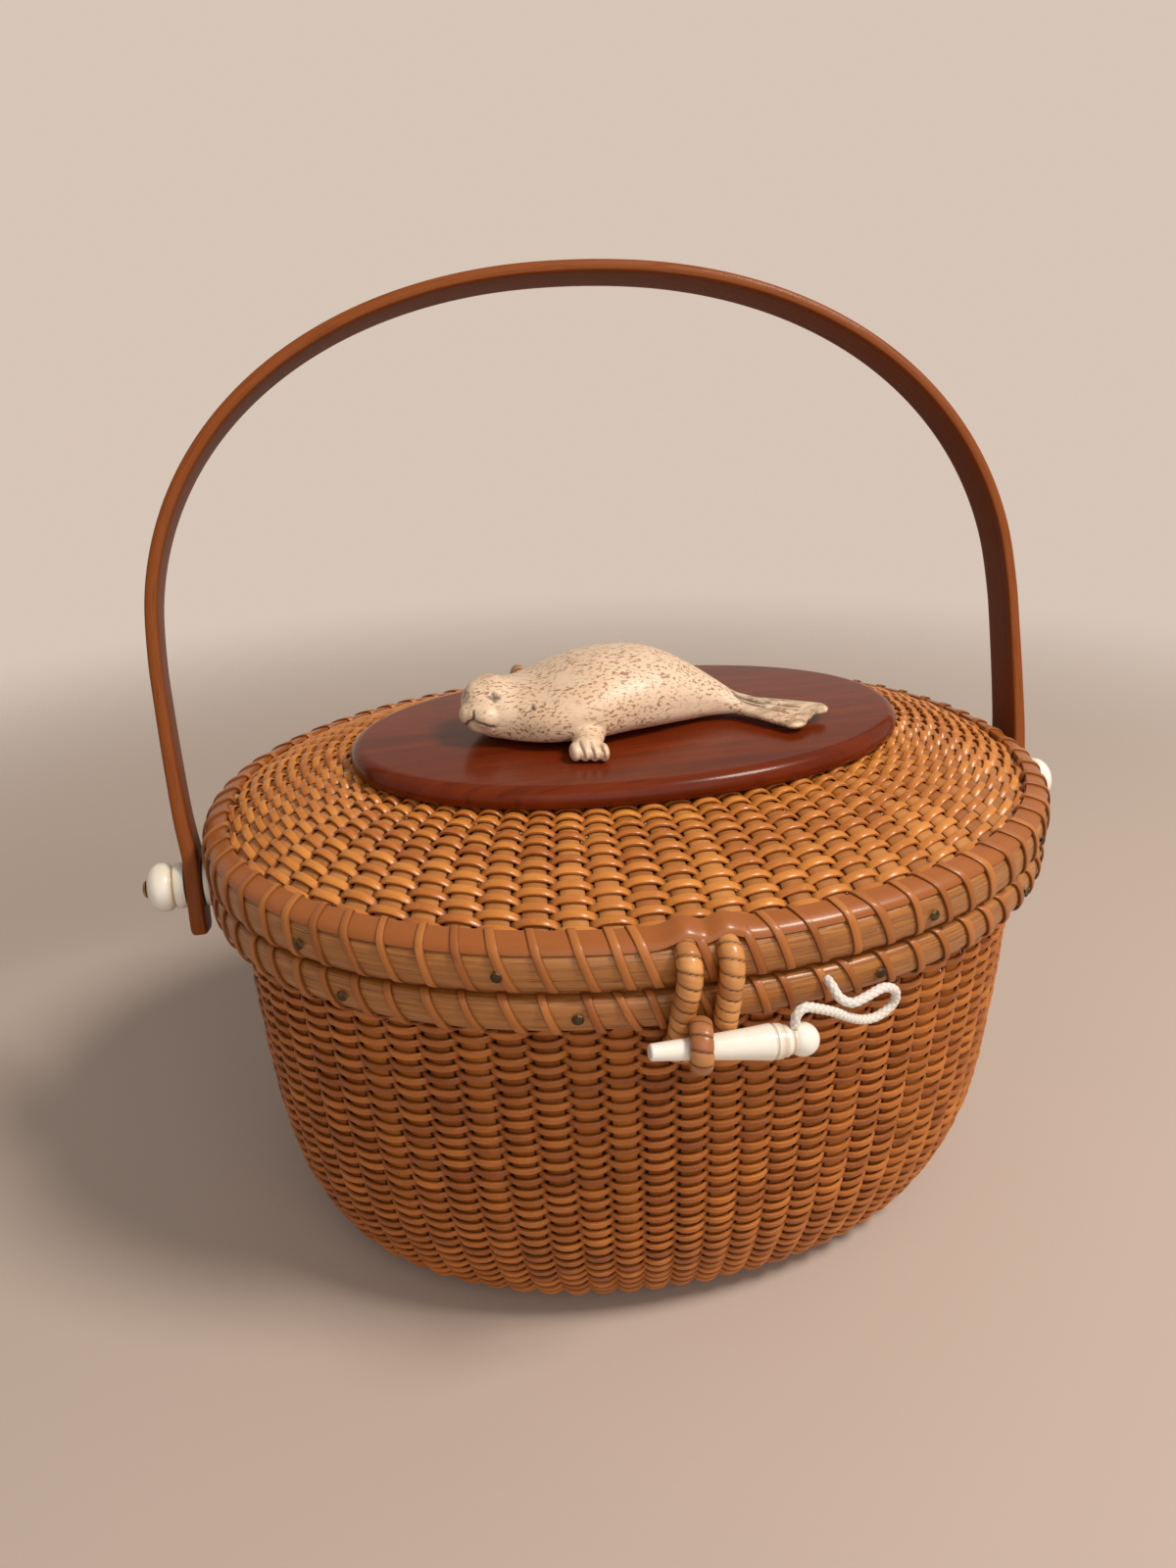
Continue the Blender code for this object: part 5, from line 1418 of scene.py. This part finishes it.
# The trunk's sections as (x, middle, half width, height, lift), and the routes of the tail's flippers.
SEAL_TRUNK = (
    (-0.0462, -0.0048, 0.0020, 0.0092, 0.0066), (-0.0450, -0.0042, 0.0050, 0.0124, 0.0050),
    (-0.0430, -0.0032, 0.0077, 0.0146, 0.0030), (-0.0400, -0.0022, 0.0101, 0.0152, 0.0014),
    (-0.0365, -0.0014, 0.0121, 0.0149, 0.0006), (-0.0330, -0.0008, 0.0143, 0.0141, 0.0),
    (-0.0290, -0.0007, 0.0172, 0.0143, 0.0), (-0.0250, -0.0007, 0.0193, 0.0152, 0.0),
    (-0.0200, -0.0005, 0.0205, 0.0170, 0.0), (-0.0150, -0.0004, 0.0208, 0.0185, 0.0),
    (-0.0100, -0.0002, 0.0203, 0.0194, 0.0), (-0.0050, 0.0, 0.0188, 0.0198, 0.0),
    (0.0, 0.0, 0.0175, 0.0198, 0.0), (0.0050, -0.0003, 0.0157, 0.0191, 0.0),
    (0.0100, -0.0009, 0.0131, 0.0175, 0.0), (0.0150, -0.0017, 0.0103, 0.0149, 0.0),
    (0.0200, -0.0026, 0.0080, 0.0117, 0.0003), (0.0250, -0.0040, 0.0065, 0.0082, 0.0006),
    (0.0290, -0.0055, 0.0055, 0.0055, 0.0008), (0.0330, -0.0074, 0.0045, 0.0045, 0.0009),
    (0.0360, -0.0092, 0.0026, 0.0037, 0.0011),
)
SEAL_FLIPPERS = (
    (
        (0.0285, -0.0052, 0.0027), (0.0370, -0.0096, 0.0027),
        (0.0437, -0.0135, 0.0026), (0.0478, -0.016, 0.0026),
    ),
    (
        (0.0285, -0.0068, 0.0026), (0.0345, -0.0118, 0.0025),
        (0.0398, -0.0162, 0.0023), (0.0424, -0.0186, 0.0022),
    ),
    (
        (0.028, -0.0082, 0.0025), (0.0325, -0.0134, 0.0023),
        (0.0366, -0.0183, 0.0019), (0.0393, -0.0218, 0.0017),
    ),
)
# The head, cheeks, nose and chin as (centre, radii).
SEAL_HEAD = (
    ((-0.0378, -0.0020, 0.0086), (0.0081, 0.0092, 0.0073)),
    ((-0.0443, -0.0077, 0.0078), (0.0029, 0.0032, 0.0031)),
    ((-0.0403, -0.0106, 0.0078), (0.0036, 0.0031, 0.0031)),
    ((-0.0425, -0.0092, 0.0086), (0.0031, 0.0028, 0.0024)),
    ((-0.0410, -0.0080, 0.0054), (0.0042, 0.0040, 0.0026)),
)
# The muzzle and the paw, which have no hair, as (centre, radii, where the hair starts).
BARE_PLACES = (
    ((-0.0424, -0.0088, 0.0070), (0.0060, 0.0060, 0.0048), 0.6),
    ((-0.0175, -0.0272, 0.002), (0.0070, 0.0050, 0.004), 0.7),
)
TAIL_START, TAIL_FADE, TAIL_STAIN = 0.027, 0.008, 0.62
# How far up from its floor the seal gets darker towards its bottom, and by how much.
FOOT_FADE, FOOT_DARKENING = 0.0012, 0.55
SMOOTHINGS = 5


def loaf(bm, rows, floor, sides=48):
    """A closed body laid on a flat: round above its widest line, boxy below it."""
    rings = []
    for x, middle, half_width, height, lift in eased(rows, 4):
        widest = (height - lift) * 0.42
        level = floor + lift + widest
        verts = []
        for side in range(sides):
            angle = math.tau * side / sides
            across, up = math.cos(angle), math.sin(angle)
            if up < 0.0:
                across, rise = boxy(across, 0.62), boxy(up, 0.62) * widest
            else:
                rise = up * (height - lift - widest)
            verts.append(bm.verts.new((x, middle + half_width * across, level + rise)))
        rings.append(verts)
    for here, after in zip(rings, rings[1:]):
        for side in range(sides):
            far = (side + 1) % sides
            bm.faces.new((here[side], after[side], after[far], here[far]))
    bm.faces.new(rings[0])
    bm.faces.new(rings[-1][::-1])


class BASKET_OT_seal(bpy.types.Operator):
    """Carve the seal that lies on the plaque"""

    bl_idname = "basket.seal"
    bl_label = "Carved seal"

    grain: length("Carving step", "Size of the finest carved detail", 0.00038)

    def blocks(self, floor):
        """The rough blocks that the carving starts from."""
        bm = bmesh.new()
        loaf(bm, SEAL_TRUNK, floor)
        for (x, y, z), radii in SEAL_HEAD:
            ellipsoid(bm, (x, y, floor + z), radii)
        for spot in np.linspace(0.0, 1.0, 9):
            x, y = -0.0146 - 0.0029 * spot, -0.0150 - 0.0105 * spot
            size = 0.0046 - 0.0008 * spot
            ellipsoid(bm, (x, y, floor + size * 0.75), (size, 0.0036, size * 0.82))
        for toe in range(4):
            x, y = -0.0209 + 0.0023 * toe, -0.0264 - 0.0007 * toe
            ellipsoid(bm, (x, y, floor + 0.0021), (0.0014, 0.0028, 0.0024))
        for route in SEAL_FLIPPERS:
            path = eased(route, 6)
            sway = path[-1] - path[0]
            turn = math.atan2(sway[1], sway[0])
            for part, (x, y, z) in zip(np.linspace(0.0, 1.0, len(path)), path):
                radii = (0.0030, 0.0026 + 0.0012 * part, 0.0018 - 0.0006 * part)
                ellipsoid(bm, (x, y, floor + z), radii, turn)
        return bm

    def execute(self, context):
        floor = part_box("seal_figure")[0][2]
        block = placed("seal_rough", meshed("seal_rough", self.blocks(floor)))
        fuse = block.modifiers.new("fuse", "REMESH")
        fuse.mode = "VOXEL"
        fuse.voxel_size = self.grain
        fused = bpy.data.meshes.new_from_object(block.evaluated_get(context.evaluated_depsgraph_get()))
        bpy.data.objects.remove(block, do_unlink=True)
        bm = bmesh.new()
        bm.from_mesh(fused)
        axes = {"use_axis_x": True, "use_axis_y": True, "use_axis_z": True}
        for _ in range(SMOOTHINGS):
            bmesh.ops.smooth_vert(bm, verts=bm.verts, factor=0.5, **axes)
        bm.to_mesh(fused)
        bm.free()
        self.carve(fused, floor)
        fused.name = "carved_seal_mesh"
        fused.shade_smooth()
        settle(placed("carved_seal", fused), "lid", "carved_seal", "carved_bone", "seal_figure")
        return {"FINISHED"}

    def carve(self, mesh, floor):
        """Cut the mouth, nose, eyes, ears and toes, and mark the bare muzzle, the stained tail and the
        darkening towards the bottom.
        """
        points, normals = read(mesh, "co"), read(mesh, "normal")
        cut = np.zeros(len(points))
        for route, wide, deep, dark in seal_cuts():
            away = distance_to(points, pressed(points, np.asarray(route) + (0.0, 0.0, floor)))
            mark = np.exp(-((away / wide) ** 2))
            points = points - normals * (mark * deep)[:, None]
            cut = np.maximum(cut, mark * dark)
        points[:, 2] = np.maximum(points[:, 2], floor)
        bare = np.zeros(len(points))
        for (x, y, z), radii, start in BARE_PLACES:
            away = np.linalg.norm((points - (x, y, floor + z)) / radii, axis=1)
            bare = np.maximum(bare, 1.0 - np.clip(away - start, 0.0, 1.0) * 2.5)
        tail = np.clip((points[:, 0] - TAIL_START) / TAIL_FADE, 0.0, 1.0) * TAIL_STAIN
        foot = np.clip(1.0 - (points[:, 2] - floor) / FOOT_FADE, 0.0, 1.0) * FOOT_DARKENING
        store(mesh, points, {"carving": stacked(bare, cut, np.maximum(tail, foot))})
        mesh.update()


def distance_to(points, route):
    """Distance of each point from a route of straight stretches."""
    best = np.full(len(points), np.inf)
    for start, end in zip(route, route[1:]):
        run = end - start
        part = np.clip((points - start) @ run / run.dot(run), 0.0, 1.0)
        best = np.minimum(best, np.linalg.norm(points - (start + part[:, None] * run), axis=1))
    return best


def pressed(points, route, steps=5):
    """A route laid on to the nearest points of a carved surface."""
    track = []
    for start, end in zip(route, route[1:]):
        for part in np.linspace(0.0, 1.0, steps):
            spot = start + (end - start) * part
            track.append(points[np.argmin(np.linalg.norm(points - spot, axis=1))])
    keep = [track[0]] + [spot for last, spot in zip(track, track[1:]) if np.linalg.norm(spot - last) > 1e-7]
    return np.asarray(keep if len(keep) > 1 else [track[0], track[0] + 1e-5])


NOSE, TAIL_FORK, TOE_FORK = (-0.0435, -0.0108, 0.0078), (0.0345, -0.0108, 0.0055), (0.0335, -0.0138, 0.0052)


def seal_cuts():
    """Carved lines over the seal's floor as (route, half width, depth, darkness)."""
    cuts = [
        ((NOSE, (-0.0437, -0.0110, 0.0098)), 0.00038, 0.0005, 1.0),
        ((NOSE, (-0.0448, -0.0098, 0.0072), (-0.0456, -0.0086, 0.0058)), 0.00040, 0.0006, 1.0),
        ((NOSE, (-0.0414, -0.0126, 0.0070), (-0.0390, -0.0128, 0.0058)), 0.00040, 0.0006, 1.0),
        (((-0.0392, -0.0106, 0.0138), (-0.0372, -0.0104, 0.0136)), 0.00062, 0.0006, 0.9),
        (((-0.0384, -0.0104, 0.0146), (-0.0380, -0.0110, 0.0128)), 0.00050, 0.0005, 0.8),
        (((-0.0448, -0.0044, 0.0118), (-0.0442, -0.0034, 0.0120)), 0.00060, 0.0006, 0.9),
        (((-0.0290, -0.0140, 0.0104), (-0.0282, -0.0142, 0.0092)), 0.00050, 0.0005, 0.8),
        (((0.0268, -0.0056, 0.0060), TAIL_FORK), 0.00085, 0.0007, 1.0),
        ((TAIL_FORK, (0.0425, -0.0160, 0.0050)), 0.00045, 0.0003, 0.7),
        (((0.0276, -0.0078, 0.0060), TOE_FORK), 0.00055, 0.0004, 0.8),
        ((TOE_FORK, (0.0386, -0.0188, 0.0044)), 0.00038, 0.0002, 0.5),
        (((0.0320, -0.0066, 0.0060), (0.0455, -0.0136, 0.0052)), 0.00038, 0.0002, 0.4),
    ]
    for gap in range(3):
        x, y = -0.01975 + 0.0023 * gap, -0.0268 - 0.0007 * gap
        route = ((x, y - 0.0004, 0.0048), (x, y - 0.0032, 0.0030), (x, y - 0.0034, 0.0004))
        cuts.append((route, 0.00034, 0.0005, 0.3))
    return cuts


# Each lamp's name, place, size, power and tint.
LAMPS = (
    ("key_light", (0.52, -0.42, 0.98), 0.30, 10.0, (1.0, 0.93, 0.84)),
    ("fill_light", (0.05, -0.90, 0.50), 1.0, 2.8, (1.0, 0.93, 0.86)),
)
LIT_POINT = (0.0, 0.0, 0.1)
ROOM_LIGHT = 0.29
# The floor is whole within the first distance from the origin and gone at the second, both squared.
FLOOR_HALF, FLOOR_FADE = 1.4, (0.09, 0.5)
CAMERA_PLACE = (-0.07394, -0.28826, 0.25019)
CAMERA_YAW, CAMERA_PITCH, CAMERA_ROLL = math.radians(12.1), math.radians(-23.61), math.radians(-1.71)
CAMERA_LENS = 26.58


class BASKET_OT_stage(bpy.types.Operator):
    """Set the floor, the lights and the camera"""

    bl_idname = "basket.stage"
    bl_label = "Stage"

    def execute(self, context):
        self.floor()
        self.lights(context)
        self.camera(context)
        context.scene.view_settings.view_transform = "Standard"
        return {"FINISHED"}

    def floor(self):
        """A pale cloth tone that fades into the backdrop further out."""
        look = Look("stage_floor")
        x, y, _ = look.split(look.place())
        far = (x * x + y * y).step(*FLOOR_FADE)
        look.finish(Base_Color=(0.56, 0.455, 0.39), Roughness=0.9, Alpha=1.0 - far)
        bm = bmesh.new()
        bmesh.ops.create_grid(bm, x_segments=1, y_segments=1, size=FLOOR_HALF)
        mesh = meshed("stage_floor", bm)
        mesh.materials.append(look.material)
        placed("stage_floor", mesh)

    def lights(self, context):
        """A dim room, seen as a paler backdrop by camera, glossy and transmission rays, and two lamps."""
        world = bpy.data.worlds.new("soft_room")
        world.use_nodes = True
        nodes, links = world.node_tree.nodes, world.node_tree.links
        kinds = ("Background", "LightPath", "Math", "Math", "MixShader")
        backdrop, rays, seen, also, mix = (nodes.new(f"ShaderNode{kind}") for kind in kinds)
        room = nodes["Background"]
        room.inputs["Color"].default_value = (1.0, 0.94, 0.88, 1.0)
        room.inputs["Strength"].default_value = ROOM_LIGHT
        backdrop.inputs["Color"].default_value = (0.68, 0.565, 0.475, 1.0)
        seen.operation = also.operation = "MAXIMUM"
        for source, out, target, socket in (
            (rays, "Is Camera Ray", seen, 0),
            (rays, "Is Glossy Ray", seen, 1),
            (seen, 0, also, 0),
            (rays, "Is Transmission Ray", also, 1),
            (also, 0, mix, 0),
            (room, 0, mix, 1),
            (backdrop, 0, mix, 2),
            (mix, 0, nodes["World Output"], "Surface"),
        ):
            links.new(source.outputs[out], target.inputs[socket])
        context.scene.world = world
        for name, place, size, power, tint in LAMPS:
            data = bpy.data.lights.new(name, "AREA")
            data.shape = "DISK"
            data.size, data.energy, data.color = size, power, tint
            lamp = placed(name, data)
            lamp.location = place
            lamp.rotation_euler = (Vector(LIT_POINT) - Vector(place)).to_track_quat("-Z", "Y").to_euler()

    def camera(self, context):
        """The camera that took the photograph: place, yaw, pitch, roll and focal length."""
        level = math.cos(CAMERA_PITCH)
        ahead = Vector((math.sin(CAMERA_YAW) * level, math.cos(CAMERA_YAW) * level, math.sin(CAMERA_PITCH)))
        right = Vector((math.cos(CAMERA_YAW), -math.sin(CAMERA_YAW), 0.0))
        up = right.cross(ahead)
        tilted_right = right * math.cos(CAMERA_ROLL) + up * math.sin(CAMERA_ROLL)
        tilted_up = up * math.cos(CAMERA_ROLL) - right * math.sin(CAMERA_ROLL)
        rows = Matrix((tilted_right, tilted_up, -ahead)).transposed()
        data = bpy.data.cameras.new("photo_camera")
        data.lens = CAMERA_LENS
        data.clip_start = 0.01
        camera = placed("photo_camera", data)
        camera.matrix_world = Matrix.Translation(CAMERA_PLACE) @ rows.to_4x4()
        context.scene.camera = camera


PIECES = (
    BASKET_OT_stage,
    BASKET_OT_cord,
    BASKET_OT_body_weave,
    BASKET_OT_lid_weave,
    BASKET_OT_rims,
    BASKET_OT_lashings,
    BASKET_OT_boards,
    BASKET_OT_seal,
    BASKET_OT_handle,
    BASKET_OT_pivots,
    BASKET_OT_clasp,
    BASKET_OT_hinges,
    BASKET_OT_nails,
)
GROUPS = {
    "basket_sizes": BasketSizes,
    "weave_sizes": WeaveSizes,
    "rim_sizes": RimSizes,
    "clasp_sizes": ClaspSizes,
    "basket_colours": BasketColours,
}


class BASKET_PT_panel(bpy.types.Panel):
    """The basket's sizes, colours and pieces"""

    bl_label = "Oval lidded basket"
    bl_space_type = "VIEW_3D"
    bl_region_type = "UI"
    bl_category = "Basket"

    def draw(self, context):
        for name in GROUPS:
            group = getattr(context.scene, name)
            box = self.layout.box()
            for key in group.__annotations__:
                box.prop(group, key)
        for operator in PIECES:
            self.layout.operator(operator.bl_idname)


def register():
    for group in GROUPS.values():
        bpy.utils.register_class(group)
    for name, group in GROUPS.items():
        setattr(bpy.types.Scene, name, PointerProperty(type=group))
    for item in (*PIECES, BASKET_PT_panel):
        bpy.utils.register_class(item)


def unregister():
    for item in (BASKET_PT_panel, *reversed(PIECES)):
        bpy.utils.unregister_class(item)
    for name in GROUPS:
        delattr(bpy.types.Scene, name)
    for group in GROUPS.values():
        bpy.utils.unregister_class(group)


def main():
    register()
    for operator in PIECES:
        group, name = operator.bl_idname.split(".")
        getattr(getattr(bpy.ops, group), name)()


if __name__ == "__main__":
    main()
